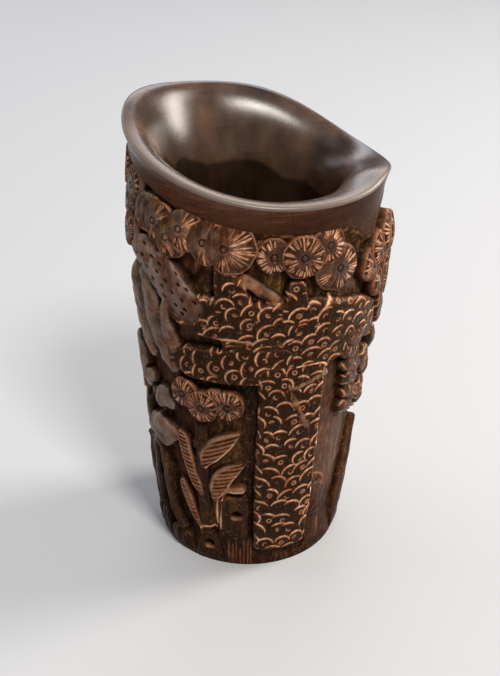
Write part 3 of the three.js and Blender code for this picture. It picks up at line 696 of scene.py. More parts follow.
def rock(line):
    """Lays a worn rock with a crease down one side."""
    form = Along(line, ROCK_WIDTH)
    edge = form.edge(0.15, 0.06)
    crease = groove(form.across - 0.2 * form.half, 0.25 * form.half + 0.4)
    top = DEPTH[form.at] * (1 - 0.5 * edge**3) - CREASE_DEPTH * crease * smooth(edge, 1, 0.6)
    top += 0.5 * LUMPS[form.at]
    outline = groove((edge - 0.93) * form.half, 0.5) * smooth(form.across, 0.4, -1) * 0.12
    covered = cover(edge, form.half)
    lay(form.at, top, covered, outline, dusty=0.05, over=True)
    # Painted shade darkens the rock, except its outline.
    at_least(shadow, form.at, 0.7 * covered * (1 - outline))


def pit(angle, share, diameter_share):
    """A hole through a rock, full of painted shade that thins below, with a fresh stroke under it.
    """
    height = share * CARVED_HEIGHT
    at = patch(angle, height - 4, height + 4, 4)
    away = np.hypot(degrees_from(ANGLE[at], angle) * PER_DEGREE[at], HEIGHT[at] - height)
    radius = HOLE_DIAMETER * diameter_share / 2
    hole = smooth(away, radius + 0.25, radius - 0.45)
    relief[at] -= HOLE_DEPTH * hole
    under = smooth(height - HEIGHT[at], 0, radius)
    at_least(ink, at, 0.35 * groove(away - radius - 0.1, 0.6) * under)
    at_least(shadow, at, hole * (1 - 0.45 * under))


CUT_WIDTH, CUT_DEPTH = 0.7, 0.3
# Each row gives how fresh the cut is, and then the stations.
CUTS = [
    (1, [[252.5, 0.195, 1], [254, 0.22, 1.2], [258, 0.24, 1.2], [262, 0.244, 1],
         [266, 0.247, 0.8]]),
    (0.9, [[236.5, 0.07, 1], [239, 0.1, 1.1], [243, 0.112, 1], [249, 0.108, 0.8]]),
    (1, [[249.5, 0.2, 0.8], [249, 0.16, 1.3], [249.5, 0.118, 0.8]]),
    (0.8, [[252.8, 0.19, 0.7], [252.8, 0.15, 1.2], [253, 0.115, 0.8]]),
    (0.7, [[268, 0.975, 0.8], [280, 0.992, 1.2], [296, 0.99, 1.3], [310, 0.965, 0.9]]),
    (0.8, [[250, 0.715, 0.6], [258, 0.722, 1], [269, 0.716, 0.7]]),
    # This cut paints a glint where the top edge of the bough catches the light.
    (1, [[300.5, 0.785, 0.6], [304, 0.802, 1.4], [307.5, 0.815, 0.7]]),
    (0.35, [[308, 0.258, 0.7], [314, 0.25, 1], [321.5, 0.225, 1], [323.5, 0.165, 1],
            [321, 0.085, 1], [319, 0.03, 0.6]]),
]
GOUGES = [258, 260.4, 262.4, 264.8, 267, 269.4, 271.3]
GOUGE_HEIGHT, GOUGE_WIDTH, GOUGE_DEPTH = 9, 0.4, 0.4


def cut(line, width, fresh, deep):
    """One stroke of the gouge through whatever is there."""
    form = Along(line, width)
    stroke = groove(form.across, 2 * form.half) * (form.beyond < 0.1)
    relief[form.at] -= deep * stroke
    at_least(ink, form.at, fresh * stroke)


for line in ROCKS:
    rock(line)
round_form(LOW_ROCK, ROCK_WIDTH, 0.4, dusty=0.6)
for fresh, line in CUTS:
    cut(line, CUT_WIDTH, fresh, CUT_DEPTH)
for angle in GOUGES:
    top = GOUGE_HEIGHT / CARVED_HEIGHT * (0.75 + 0.5 * chance(angle, 1, 2))
    cut([[angle, 0.004, 0.7], [angle, top, 1]], GOUGE_WIDTH, 0.25, GOUGE_DEPTH)
for row in HOLES:
    pit(*row)
print(len(ROCKS) + 1, "rocks,", len(HOLES), "holes,", len(CUTS) + len(GOUGES), "cuts")

# %% [markdown]
# ## Pine needles
#
# A tuft of needles is seen end on, as a round fan: a small ring in the middle and gouge
# strokes that run out from it like the spokes of a wheel. Tufts overlap in clumps, so each
# disc is cut a little prouder than its neighbour. Some are cut as half fans, with the ring
# near one side and strokes only on the other, and three face one way, with a plain sector.

# %% Needles
NEEDLE_DIAMETER, NEEDLE_STEP, SPOKE, SPOKE_PITCH, SPOKE_END = 10.4, 0.34, 0.27, 1.1, 0.12
HUB, HUB_LINE, HUB_SHIFT, NEEDLE_DEPTH, CROWN = 0.95, 0.4, 0.28, 0.34, 0.35
# Each row gives an angle, a share of the height, a share of the diameter and steps proud.
TUFTS = [
    [277.5, 0.948, 1.05, 0], [307, 0.898, 1.5, 1], [302, 0.962, 1.1, 2.5], [290, 0.943, 1.28, 3.5],
    [234.5, 0.535, 1, 0.5], [245, 0.508, 1.05, 2], [251.5, 0.53, 0.8, 0.4], [258, 0.52, 1, 1],
    [333, 0.855, 1.1, 1], [341, 0.885, 1.2, 3], [344, 0.79, 1.1, 3], [350, 0.91, 1.3, 5],
    [351, 0.83, 1.2, 6], [357, 0.9, 1.2, 7], [356, 0.77, 1.2, 6.5],
    [192, 1.01, 1.15, 0], [200, 1.055, 1.15, 1], [196, 0.93, 1.1, 0],
    [60, 0.91, 1.15, 0], [71, 0.94, 1.15, 1], [83, 0.92, 1.25, 2], [94, 0.95, 1.15, 1],
    [108, 0.95, 1.2, 0], [121, 0.99, 1.3, 1], [133, 1.05, 1.3, 0], [145, 1.02, 1.35, 2],
    [157, 1.08, 1.3, 1], [170, 1.06, 1.3, 2], [182, 1.08, 1.3, 1],
    [18, 0.88, 1.15, 0], [29, 0.91, 1.15, 1], [22, 0.81, 1.1, 2],
    [61, 0.56, 1, 0], [70, 0.585, 1.05, 1], [79, 0.55, 1, 2],
    [140, 0.57, 1, 0], [149, 0.6, 1.05, 1], [158, 0.56, 1, 2],
]
HALF_TUFTS = [
    [213, 1.01, 1.2, 0], [218, 1.01, 1.25, 0.2], [223, 1, 1.3, 0.4], [231, 0.97, 1.2, 0.5],
    [238, 1, 1.3, 0.7], [250, 0.978, 1.35, 0.9], [259.5, 0.968, 1.5, 1.1],
]
# The tuft at each of these angles faces this way.
FACING = {302: 5, 307: -50, 277.5: 200}


def tuft(angle, share, diameter_share, steps, seed, facing=None, half_fan=False):
    """Lays one disc of needles with its ring and spokes."""
    height = share * CARVED_HEIGHT
    radius = NEEDLE_DIAMETER * diameter_share / 2
    at = patch(angle, height - radius - 2, height + radius + 2, radius + 2)
    x = degrees_from(ANGLE[at], angle) * PER_DEGREE[at]
    z = HEIGHT[at] - height
    hub_x = x + (HUB_SHIFT * radius if half_fan else 0)
    out, turn = np.hypot(hub_x, z), np.arctan2(z, hub_x)
    count = round(2 * np.pi * radius * 0.92 / SPOKE_PITCH)
    spoke = np.round(turn / (2 * np.pi) * count)
    off = turn - spoke * 2 * np.pi / count - (chance(spoke % count, seed, 1) - 0.5) * 0.24
    start = radius * ((0.2 if half_fan else 0.28) + 0.3 * chance(spoke % count, seed, 2))
    end = 0.95 - 0.22 * chance(spoke % count, seed, 3) ** 2
    edge = np.hypot(x, z) / radius * (1 + 0.05 * WOBBLE[at])
    pointed = smooth(out, start - 0.3, start + 1.2) * smooth(edge, end + 0.03, end - 0.12)
    width = SPOKE * (1.5 if facing is not None or half_fan else 1)
    spokes = groove(out * np.sin(off), SPOKE_END + width * pointed) * smooth(pointed, 0, 0.25)
    sector = np.ones(x.shape)
    if half_fan:
        sector = smooth(np.cos(turn + 0.4), -0.1, 0.25)
    if facing is not None:
        sector = smooth(np.cos(turn - radians(facing)), -0.6, -0.3) * smooth(edge, 0.35, 0.5)
    spokes *= sector
    ring = groove(out - HUB, HUB_LINE)
    # The outline is partly a painted highlight on the edge of the disc.
    outline = (0.5 * sector if half_fan else 0.4) * groove((edge - 0.94) * radius, 0.3)
    lines = np.maximum(spokes * (0.6 + 0.35 * chance(spoke % count, seed, 4)), outline)
    sink = 0.35 if half_fan else 0.6
    top = DEPTH[at] + steps * NEEDLE_STEP + CROWN * (1 - edge**2) - sink * smooth(edge, 0.8, 1)
    carved = NEEDLE_DEPTH * np.maximum(spokes, ring)
    covered = cover(edge, radius)
    lay(at, top - carved, covered, lines, dusty=0.6 if half_fan else 0, over=True)
    at_least(leafy, at, covered)
    # A half fan gets a little grey bloom, partly as a painted sheen.
    grey_bloom_and_sheen[at] = mix(grey_bloom_and_sheen[at], 0.22 if half_fan else 0, covered)
    gaps = smooth(edge, 0.3, 0.6) * (1 - spokes)
    at_least(shadow, at, 0.75 * gaps * covered * mix(0.5, 1, sector))
    # A full tuft gets a little painted shade off its lines, and the ring gets painted shade.
    if not half_fan:
        at_least(shadow, at, 0.2 * covered * (1 - lines))
    at_least(shadow, at, 0.9 * groove(out - HUB, 0.5) * covered)


for number, row in enumerate(sorted(TUFTS, key=lambda row: row[3])):
    tuft(*row, number, FACING.get(row[0]))
for number, row in enumerate(HALF_TUFTS):
    tuft(*row, number, half_fan=True)
print(len(TUFTS), "tufts and", len(HALF_TUFTS), "half tufts of needles")

# %% [markdown]
# ## The ground
#
# Between the forms the horn is cut back to a rough ground that holds dust and old wax. It
# isn't level: the gouge leaves it a little wavy, it runs up softly into the plain band, and it
# is cut deepest in the hollows beside the trunk and between the rocks, which get painted shade.
# A field to the right of the trunk is scraped nearly flat and left darker.

# %% Hollows
HOLLOW_WIDTH, HOLLOW_DEPTH = 6, 1.4
HOLLOWS = [
    [[267.5, 0.06, 0.9], [267.5, 0.3, 1], [267.5, 0.56, 1]],
    [[207, 0.06, 0.9], [207, 0.17, 1], [206.5, 0.27, 0.8]],
    [[218, 0.11, 0.9], [218.5, 0.2, 1], [219, 0.28, 0.9]],
    [[211.5, 0.93, 1], [211, 0.985, 0.8]],
    [[231, 0.59, 0.8], [238, 0.585, 0.6]],
    [[220.5, 0.405, 0.7], [220.5, 0.43, 0.7]],
    [[238, 0.87, 0.9], [247, 0.875, 1.1], [251, 0.88, 0.8]],
    [[271.5, 0.704, 0.3], [273.5, 0.704, 0.3]],
    [[322, 0.5, 0.6], [321, 0.62, 0.6]],
    [[317, 0.84, 0.5], [323, 0.88, 0.7], [322, 0.92, 0.5]],
]
FIELD_LEFT, FIELD_RIGHT, BOUGHS_FROM = 307, 336, 66
RUN_UP, RUN_UP_LOW, DIP_SOFT = 6, 0.72, 20


def hollow_out(line):
    """Cuts the bare ground deeper along a line, and paints shade into it."""
    form = Along(line, HOLLOW_WIDTH)
    deep = smooth(form.edge(0.1, 0.1), 1.15, 0.5) * smooth(relief[form.at], 0.8, 0.0)
    relief[form.at] -= HOLLOW_DEPTH * deep * DEPTH[form.at] / RELIEF_DEPTH
    at_least(shadow, form.at, 0.75 * deep)


bare = smooth(relief, 0.6, 0.0)
field = (smooth(degrees_from(ANGLE, FIELD_LEFT), -1, 1)
         * smooth(degrees_from(ANGLE, FIELD_RIGHT), 2, -2)
         * smooth(HEIGHT, BOUGHS_FROM + 6, BOUGHS_FROM))
dust *= mix(mix(0.4, 1, smooth(noise(36, 16, 9), -0.6, 0.5)), 0.35, field)
shadow = np.maximum(shadow, 0.28 * field * bare)
for line in HOLLOWS:
    hollow_out(line)
below_band = band_height(ANGLE) - HEIGHT
near_dip = bump_at(ANGLE, DIP_ANGLE, DIP_SOFT)
running_up = mix(RUN_UP_LOW, 1, near_dip) * DEPTH * smooth(below_band, RUN_UP, 0) ** 1.5
relief = np.maximum(relief, running_up)
rough = 0.35 * noise(60, 40, 5) + 0.12 * noise(240, 60, 6) + 0.08 * noise(480, 40, 7)
relief += bare * rough * (1 - 0.8 * field)
relief += (1 - bare) * 0.05 * noise(200, 100, 8)
relief = mix(0.6 * DEPTH, relief, smooth(HEIGHT, 0.2, 2.6))
print(len(HOLLOWS), "hollows, and the lowest point is", round(float(relief.min()), 2), "mm")

# %% [markdown]
# ## Dust, wear and painted shade
#
# Steep sides, hollows and the low ground get painted shade, deepest towards the foot. What
# stands higher than its surroundings is rubbed until it shines, and its sharpest edges show
# fresh horn, partly as a painted highlight. Dust settles on the slopes, in clouds over the upper
# forms, near the leaves and right under the band.

# %% Dust, wear and painted shade
WIDE, MIDDLING, FINE, ROUND_LEAVES = 4, 2.2, 0.8, 5
FOOT_DARK, FOOT_CLEAN = 36, 12


def blurred(sheet, reach):
    """A soft average over a square, by running sums along each direction."""
    width = int(reach * ROWS / CARVED_HEIGHT) | 1
    pad = width // 2
    for _ in range(2):
        wide = np.concatenate([sheet[:, -pad - 1:], sheet, sheet[:, :pad]], axis=1)
        sums = np.cumsum(wide, axis=1)
        sheet = (sums[:, width:] - sums[:, :-width]) / width
        tall = np.vstack([np.repeat(sheet[:1], pad + 1, 0), sheet, np.repeat(sheet[-1:], pad, 0)])
        sums = np.cumsum(tall, axis=0)
        sheet = (sums[width:] - sums[:-width]) / width
    return sheet


steep = np.hypot(np.gradient(relief, axis=0) * ROWS / CARVED_HEIGHT,
                 np.gradient(relief, axis=1) / PER_DEGREE * COLUMNS / 360)
# Steep sides and hollows get painted shade, from a blur of the relief.
shadow = np.maximum(shadow, 0.7 * smooth(steep, 1.2, 2.8))
shade_sheet = np.clip((blurred(relief, WIDE) - relief) / 1.9, 0, 1)
shade_sheet = np.clip(shade_sheet + shadow, 0, 1)
worn = np.clip((relief - blurred(relief, MIDDLING)) / 0.8 - 0.15, 0, 1)
worn *= (1 - bare) * (1 - shade_sheet)
patches = smooth(noise(80, 40, 21) + 0.5 * noise(160, 80, 22), -0.5, 0.7)
on_slopes = 0.5 * smooth(steep, 0.6, 1.4) * patches
dust = np.maximum(dust, on_slopes * (ink < 0.2) * (relief < 1.05 * DEPTH))
# The sharpest edges show fresh horn, partly as a painted highlight.
edge_wear_and_highlight = smooth(relief - blurred(relief, FINE), 0.12, 0.3) * mix(0.15, 1, patches)
edge_wear_and_highlight *= (1 - smooth(steep, 0.9, 1.8)) * (1 - bare)
ink = np.maximum(ink, 0.5 * edge_wear_and_highlight * (1 - 0.6 * barky))

dust *= mix(0.35, 1, smooth(HEIGHT, 4, FOOT_CLEAN))
clouds = 0.45 * patches * smooth(noise(30, 14, 23), -0.2, 0.6) * smooth(HEIGHT, 60, 75)
dust = np.maximum(dust, clouds * (1 - bare) * (1 - 0.9 * barky) * (1 - 0.7 * leafy))
# Painted shade deepens towards the foot and over the low ground, which also loses dust away from
# the leaves.
shade_toward_foot = 0.8 * smooth(HEIGHT, FOOT_DARK, 10)
shade_sheet = np.maximum(shade_sheet, shade_toward_foot * (ink < 0.3) * (1 - barky))
near_leaves = smooth(blurred(leafy, ROUND_LEAVES), 0.03, 0.35)
low_ground = bare * smooth(HEIGHT, BOUGHS_FROM + 12, BOUGHS_FROM) * (1 - field)
dust *= 1 - 0.6 * (1 - near_leaves) * low_ground
shade_sheet = np.maximum(shade_sheet, mix(0.6, 0.4, near_leaves) * low_ground)
under_band = smooth(below_band, 5, 1.5) * bare
shade_sheet *= 1 - 0.85 * under_band
dust = np.maximum(dust, under_band)

# The dusty ridge loses its painted shade and gets fresh horn along its top, partly as a painted
# highlight.
ridge = Along(DUSTY_RIDGE, RIDGE_WIDTH)
on_ridge = smooth(ridge.edge(0.2, 0.1), 1, 0.5)
shade_sheet[ridge.at] *= 1 - on_ridge
at_least(ink, ridge.at, 0.3 * on_ridge * patches[ridge.at])
ink *= mix(0.7, 1, smooth(noise(380, 190, 31), -0.6, 0.2))
print("hollows cover", round(float((shade_sheet > 0.3).mean()) * 100), "percent of the carved zone")

# %% [markdown]
# ## The wall as a mesh
#
# Rings of points are joined one to the next, from the rebate for the base disc up the outside,
# over the rim and down the bore, until the last meets the first. That makes one closed skin
# round the real thickness of the horn.

# %% Rings above and inside the carving
BAND_RINGS, EDGE_RINGS, BRIM_RINGS, BORE_RINGS = 30, 9, 60, 50
EDGE_ROUND = 1.2
BRIM_DROP, BRIM_DROP_CHANGE = 22, 9
BRIM_SQUARENESS, SQUARENESS_CHANGE = 2.1, 0.4
BORE_CURVE, SEAT_HEIGHT, REBATE_RADIUS, REBATE_DEPTH = 0.62, 8, 24.5, 4


def band_ring(share):
    halves = [mix(NECK[i], MOUTH[i], share**2) for i in (0, 1)]
    rim = rim_height(around) - EDGE_ROUND
    return ring_points(around, halves, mix(band_height(around), rim, share))


def edge_ring(turn):
    inward, upward = EDGE_ROUND * (1 - np.cos(turn)), EDGE_ROUND * (1 - np.sin(turn))
    return ring_points(around, [half - inward for half in MOUTH], rim_height(around) - upward)


def brim_ring(share):
    toward_lip = np.cos(np.radians(around - LIP_ANGLE))
    drop = BRIM_DROP + BRIM_DROP_CHANGE * toward_lip
    squareness = BRIM_SQUARENESS - SQUARENESS_CHANGE * toward_lip
    fall = 1 - (1 - share**squareness) ** (1 / squareness)
    halves = [mix(MOUTH[i] - EDGE_ROUND, THROAT[i], share) for i in (0, 1)]
    return ring_points(around, halves, rim_height(around) - drop * fall)


def bore_ring(share):
    halves = [mix(BORE[i], THROAT[i], share**BORE_CURVE) for i in (0, 1)]
    top = brim_ring(1.0)[:, 2] / MM
    return ring_points(around, halves, mix(SEAT_HEIGHT, top, share))


def level_ring(radius, height):
    return ring_points(around, [radius, radius], 0.0) + [0, 0, height * MM]


carved = ring_points(ANGLE, [half - DEPTH + relief for half in (half_x, half_y)], HEIGHT)
rings = [level_ring(REBATE_RADIUS, 0), *carved]
rings += [band_ring(share) for share in np.linspace(0, 0.97, BAND_RINGS)]
rings += [edge_ring(turn) for turn in np.linspace(0, np.pi / 2 * 0.92, EDGE_RINGS)]
rings += [brim_ring(share) for share in np.sin(np.linspace(0, np.pi / 2, BRIM_RINGS))]
rings += [bore_ring(share) for share in np.linspace(0.99, 0.0, BORE_RINGS)]
rings += [level_ring(BORE[0], REBATE_DEPTH), level_ring(REBATE_RADIUS, REBATE_DEPTH)]
print(len(rings), "rings of", COLUMNS, "points")


# %% Mesh
def hoop_mesh(name, rings):
    """Joins each ring to the next and the last to the first."""
    points = np.concatenate(rings)
    ring = np.arange(len(rings))[:, None] * COLUMNS
    after = (np.arange(len(rings))[:, None] + 1) % len(rings) * COLUMNS
    here = np.arange(COLUMNS)[None, :]
    beside = (here + 1) % COLUMNS
    faces = np.stack([ring + here, ring + beside, after + beside, after + here], axis=-1)
    corners = faces.reshape(-1).astype(np.int32)
    mesh = bpy.data.meshes.new(name)
    mesh.vertices.add(len(points))
    mesh.vertices.foreach_set("co", points.astype(np.float32).ravel())
    mesh.loops.add(len(corners))
    mesh.loops.foreach_set("vertex_index", corners)
    mesh.polygons.add(len(corners) // 4)
    mesh.polygons.foreach_set("loop_start", np.arange(0, len(corners), 4, dtype=np.int32))
    mesh.polygons.foreach_set("use_smooth", np.ones(len(corners) // 4, dtype=bool))
    mesh.update(calc_edges=True)
    mesh.validate()
    piece = bpy.data.objects.new(name, mesh)
    bpy.context.scene.collection.objects.link(piece)
    return piece


wall = hoop_mesh("horn_wall", rings)
print(wall.name, len(wall.data.vertices), "points")

# %% [markdown]
# ## What the mesh tells its material
#
# The sheets go to the mesh as a colour and a number at every point: fresh lines in red, dust in
# green, painted shade in blue, polish and the grey bloom, partly a painted sheen, in alpha, and
# how dull the horn is. The plain band and the rim get strips of their own. The band is darker
# and duller towards its foot, painted shade darkens its right side, and a painted highlight
# makes the rim pale in front. Inside, painted shade and a painted dark reflection reach up to an
# uneven line under the rim.

# %% Marks on the wall
# Each row gives an angle and how far below the rim the painted shade of the bore ends.
BORE_SHADE_LINE = [[-30, 13], [34, 15], [52, 15.5], [70, 21], [88, 20.5], [104, 22], [128, 24], [150, 21],
        [166, 22], [178, 15], [195, 10], [230, 8], [290, 8], [330, 13]]
BORE_SHADE_SOFT, SHADED_SIDE_ANGLE, SHADED_SIDE_REACH = 0.8, 326, 38
band_first = 1 + ROWS
edge_first = band_first + BAND_RINGS
inside_first = edge_first + EDGE_RINGS


def on_rings(*strips):
    """A value for every point of the mesh, from pairs of a first ring and its strip."""
    whole = np.zeros((len(rings), COLUMNS))
    for first, values in strips:
        whole[first:first + len(values)] += values
    return whole.ravel()


def up_band(bottom, top):
    return np.linspace(bottom, top, BAND_RINGS)[:, None]


# Painted shade and a painted dark reflection fill the bore up to this line.
bore_shade_height = rim_height(around) - np.interp((around + 30) % 360 - 30, *np.transpose(BORE_SHADE_LINE))
inside = np.stack(rings[inside_first:])[:, :, 2] / MM
bore_shade = smooth(inside, bore_shade_height + BORE_SHADE_SOFT, bore_shade_height - BORE_SHADE_SOFT)
at_dip = bump_at(around, DIP_ANGLE, DIP_SOFT)
# The band is darker towards its foot, and painted shade darkens its right side.
band_shade = up_band(0.85, 0) * (1 - 0.6 * at_dip)
band_shade = np.minimum(band_shade + 0.8 * bump_at(around, SHADED_SIDE_ANGLE, SHADED_SIDE_REACH), 1)
band_dust = up_band(0.7, 0) ** 1.5 * at_dip
# A painted highlight makes the rim pale in front.
in_front = smooth(np.cos(np.radians(around - 270)), -0.3, 0.5)
over_edge = np.concatenate([np.linspace(0.5, 1, EDGE_RINGS), np.linspace(1, 0, EDGE_RINGS)])
rim_highlight = over_edge[:, None] * 0.4 * in_front
marks = np.stack([
    on_rings((1, ink), (band_first, up_band(0.05, 0.02))),
    on_rings((1, dust), (band_first, band_dust), (edge_first, rim_highlight)),
    on_rings((1, shade_sheet), (band_first, band_shade), (inside_first, 0.85 * bore_shade)),
    on_rings((1, (1 - 0.7 * worn) * (1 - grey_bloom_and_sheen * patches)),
             (band_first, np.minimum(2 * band_dust, 1))),
], axis=-1)
layer = wall.data.color_attributes.new("carving", "FLOAT_COLOR", "POINT")
layer.data.foreach_set("color", marks.astype(np.float32).ravel())
unpolished = on_rings((1, barky), (band_first, up_band(0.95, 0.75)))
layer = wall.data.attributes.new("unpolished", "FLOAT", "POINT")
layer.data.foreach_set("value", unpolished.astype(np.float32))
print("marks at", len(marks), "points")

# %% [markdown]
# ## Materials
#
# A Principled BSDF carries each finish. One function turns an sRGB hex colour to the linear
# numbers that Blender works in, and one adds a node with its settings and links.


# %% Helpers for materials
def srgb(code):
    values = [int(code[i:i + 2], 16) / 255 for i in (1, 3, 5)]
    linear = [v / 12.92 if v <= 0.04045 else ((v + 0.055) / 1.055) ** 2.4 for v in values]
    return (*linear, 1)


def add(tree, kind, settings=None, **links):
    """Adds a node. Links name an input, with underscores for spaces, or its number."""
    node = tree.nodes.new(kind)
    for name, value in (settings or {}).items():
        if isinstance(name, str) and hasattr(node, name):
            setattr(node, name, value)
        else:
            node.inputs[name].default_value = value
    for name, source in links.items():
        key = int(name[1:]) if name[1:].isdigit() else name.replace("_", " ")
        tree.links.new(source, node.inputs[key])
    return node


def material(name, **settings):
    made = bpy.data.materials.new(name)
    made.use_nodes = True
    shader = made.node_tree.nodes["Principled BSDF"]
    for key, value in settings.items():
        shader.inputs[key.replace("_", " ")].default_value = value
    return made, made.node_tree, shader


def ramp(tree, factor, places, codes):
    """A colour ramp with hex colours at these places."""
    node = add(tree, "ShaderNodeValToRGB", Fac=factor)
    elements = node.color_ramp.elements
    while len(elements) < len(places):
        elements.new(0.5)
    for element, place, code in zip(elements, places, codes.split()):
        element.position = place
        element.color = srgb(code)
    return node.outputs["Color"]


def mask(tree, factor, low, high):
    """Black below one place and white above the other."""
    return ramp(tree, factor, (low, high), "#000000 #ffffff")


def blend(tree, factor, low, high):
    """Goes from one colour to another. Each may be a socket or a colour."""
    node = add(tree, "ShaderNodeMix", {"data_type": "RGBA"}, s0=factor)
    for number, value in ((6, low), (7, high)):
        if isinstance(value, tuple):
            node.inputs[number].default_value = value
        else:
            tree.links.new(value, node.inputs[number])
    return node.outputs[2]


def total(tree, start, *parts):
    """A number, plus each source times its factor."""
    for source, factor in parts:
        node = add(tree, "ShaderNodeMath", {"operation": "MULTIPLY_ADD", 1: factor}, s0=source)
        if isinstance(start, float):
            node.inputs[2].default_value = start
        else:
            tree.links.new(start, node.inputs[2])
        start = node.outputs[0]
    return start


def grain(tree, across_mm, stretch, detail=4, distortion=0.0):
    """Noise drawn out along Z, as wide as across_mm in the other directions."""
    place = add(tree, "ShaderNodeTexCoord").outputs["Object"]
    scale = 1 / (across_mm * MM)
    scales = (scale, scale, scale / stretch)
    drawn = add(tree, "ShaderNodeMapping", {"Scale": scales}, Vector=place)
    return add(tree, "ShaderNodeTexNoise",
               {"Scale": 1.0, "Detail": detail, "Roughness": 0.6, "Distortion": distortion},
               Vector=drawn.outputs[0]).outputs["Fac"]


print("fresh horn in linear light:", [round(v, 2) for v in srgb("#f9c39c")[:3]])

# %% [markdown]
# ### Polished buffalo horn
#
# Horn is keratin, with an IOR near 1.56. Rubbed with oil and handled for years it is almost
# black where it is polished, with long fine fibres that show as brown streaks. The plain band
# and the inside are redder, with level hoops of growth. Each gouge line cuts through the dark
# skin into fresh orange-brown horn with a pale core, partly a painted highlight, and the ground
# keeps a golden dust. Painted shade takes the hollows towards near black.

# %% Horn: grain
THREE_FIBRES, THREE_HOOPS, THREE_CLOUDS = (0.3, 0.6, 0.85), (0.32, 0.5, 0.68), (0.3, 0.5, 0.7)
horn, tree, shader = material("polished_buffalo_horn", Roughness=0.36, IOR=1.56)
carving = add(tree, "ShaderNodeAttribute", {"attribute_name": "carving"})
split = add(tree, "ShaderNodeSeparateColor", Color=carving.outputs["Color"])
inked, dusty, shade_share = (split.outputs[name] for name in ("Red", "Green", "Blue"))
# Alpha marks the carved zone, lowered where it is worn and where the grey bloom paints a sheen.
carved_zone = carving.outputs["Alpha"]
unpolished = add(tree, "ShaderNodeAttribute", {"attribute_name": "unpolished"}).outputs["Fac"]
fibre = grain(tree, 0.5, 30)
cloud = grain(tree, 14, 2, detail=3)
stain = grain(tree, 5, 1.5, detail=5, distortion=0.6)
powder = grain(tree, 1.6, 2, detail=6)
scored = grain(tree, 2.2, 1)
hoops = add(tree, "ShaderNodeMapping", {"Scale": (90, 90, 1500)},
            Vector=add(tree, "ShaderNodeTexCoord").outputs["Object"])
hoops = add(tree, "ShaderNodeTexNoise", {"Scale": 1.0, "Detail": 5.0, "Roughness": 0.65},
            Vector=hoops.outputs[0]).outputs["Fac"]
print(horn.name, "with", len(tree.nodes), "nodes for its grain")

# %% Horn: colour
bark_skin = blend(tree, cloud, ramp(tree, fibre, THREE_FIBRES, "#1a0f09 #26170f #402818"),
                  ramp(tree, fibre, THREE_FIBRES, "#251710 #362317 #583a28"))
smooth_skin = blend(tree, cloud, ramp(tree, fibre, THREE_FIBRES, "#22120b #382015 #523324"),
                    ramp(tree, fibre, THREE_FIBRES, "#3e2318 #5e3a29 #8f6349"))
smooth_skin = blend(tree, mask(tree, stain, 0.5, 0.62), smooth_skin,
                    ramp(tree, fibre, (0.3, 0.8), "#4a2a17 #865632"))
skin = blend(tree, unpolished, smooth_skin, bark_skin)
inner = blend(tree, hoops, ramp(tree, cloud, THREE_CLOUDS, "#1f130d #35231a #4d3729"),
              ramp(tree, cloud, THREE_CLOUDS, "#34251b #523c2e #6e5341"))
band = blend(tree, mask(tree, fibre, 0.35, 0.75),
             ramp(tree, hoops, THREE_HOOPS, "#28130b #4a2114 #703522"),
             ramp(tree, hoops, THREE_HOOPS, "#402217 #633828 #94614c"))
band = blend(tree, mask(tree, cloud, 0.4, 0.7), band,
             ramp(tree, hoops, (0.32, 0.68), "#2a1b11 #5c4129"))
rubbed = blend(tree, unpolished, inner, band)
ground = blend(tree, mask(tree, cloud, 0.4, 0.6),
               ramp(tree, powder, THREE_CLOUDS, "#21170b #5c4322 #ac8750"),
               ramp(tree, powder, THREE_CLOUDS, "#2b130a #643a24 #b07a56"))
# The pale core of each line is partly a painted highlight.
fresh = blend(tree, inked, ramp(tree, scored, (0.28, 0.75), "#b05428 #ee985c"),
              ramp(tree, scored, (0.28, 0.5, 0.75), "#e69c6c #f9c39c #fff0e2"))
# The colour of painted shade.
deep = ramp(tree, fibre, (0.3, 0.7), "#0b0706 #19100b")
colour = blend(tree, carved_zone, rubbed, skin)
# Dust is golden in the carved zone. On the rim its pale grey is a painted highlight, and in the
# grey bloom a painted sheen.
dust_and_pale_highlight = blend(tree, carved_zone, srgb("#b1a296"), ground)
colour = blend(tree, dusty, colour, dust_and_pale_highlight)
# Painted shade takes the colour towards near black.
colour = blend(tree, total(tree, 0.0, (shade_share, 0.9)), colour, deep)
specks = mask(tree, grain(tree, 0.7, 1.3, detail=6), 0.53, 0.62)
specks = blend(tree, carved_zone, srgb("#000000"), specks)
colour = blend(tree, total(tree, 0.0, (specks, 0.35)), colour, ground)
colour = blend(tree, inked, colour, fresh)
tree.links.new(colour, shader.inputs["Base Color"])
print(horn.name, "has", len(tree.nodes), "nodes with its colours")

# %% Horn: gloss
LEAST_SHEEN = 0.03
rough = total(tree, 0.2, (dusty, 0.25), (carved_zone, 0.06), (inked, 0.25), (cloud, 0.12))
tree.links.new(rough, shader.inputs["Roughness"])
sheen = total(tree, 0.5, (carved_zone, -0.2), (unpolished, -0.42), (shade_share, -0.35),
              (dusty, -0.3))
sheen = add(tree, "ShaderNodeMath", {"operation": "MAXIMUM", 1: LEAST_SHEEN}, s0=sheen)
tree.links.new(sheen.outputs[0], shader.inputs["Specular IOR Level"])
scuffs = add(tree, "ShaderNodeBump", {"Distance": 0.0003},
             Height=grain(tree, 0.9, 1.5, detail=6),
             Strength=total(tree, 0.0, (carved_zone, 0.4)))
bump = add(tree, "ShaderNodeBump", {"Strength": 0.2, "Distance": 0.0002},
           Height=grain(tree, 0.35, 20), Normal=scuffs.outputs[0])
tree.links.new(bump.outputs[0], shader.inputs["Normal"])
wall.data.materials.append(horn)
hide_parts("carved_wall")
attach(wall, "root")
print(wall.name, "is", horn.name)

# %% [markdown]
# ### The base disc and its seal
#
# The disc is a slice of the same horn, sawn across the fibres and scraped, so its grain shows
# as specks. The bead that seals it is a dark lacquer, brushed on and left to level itself.

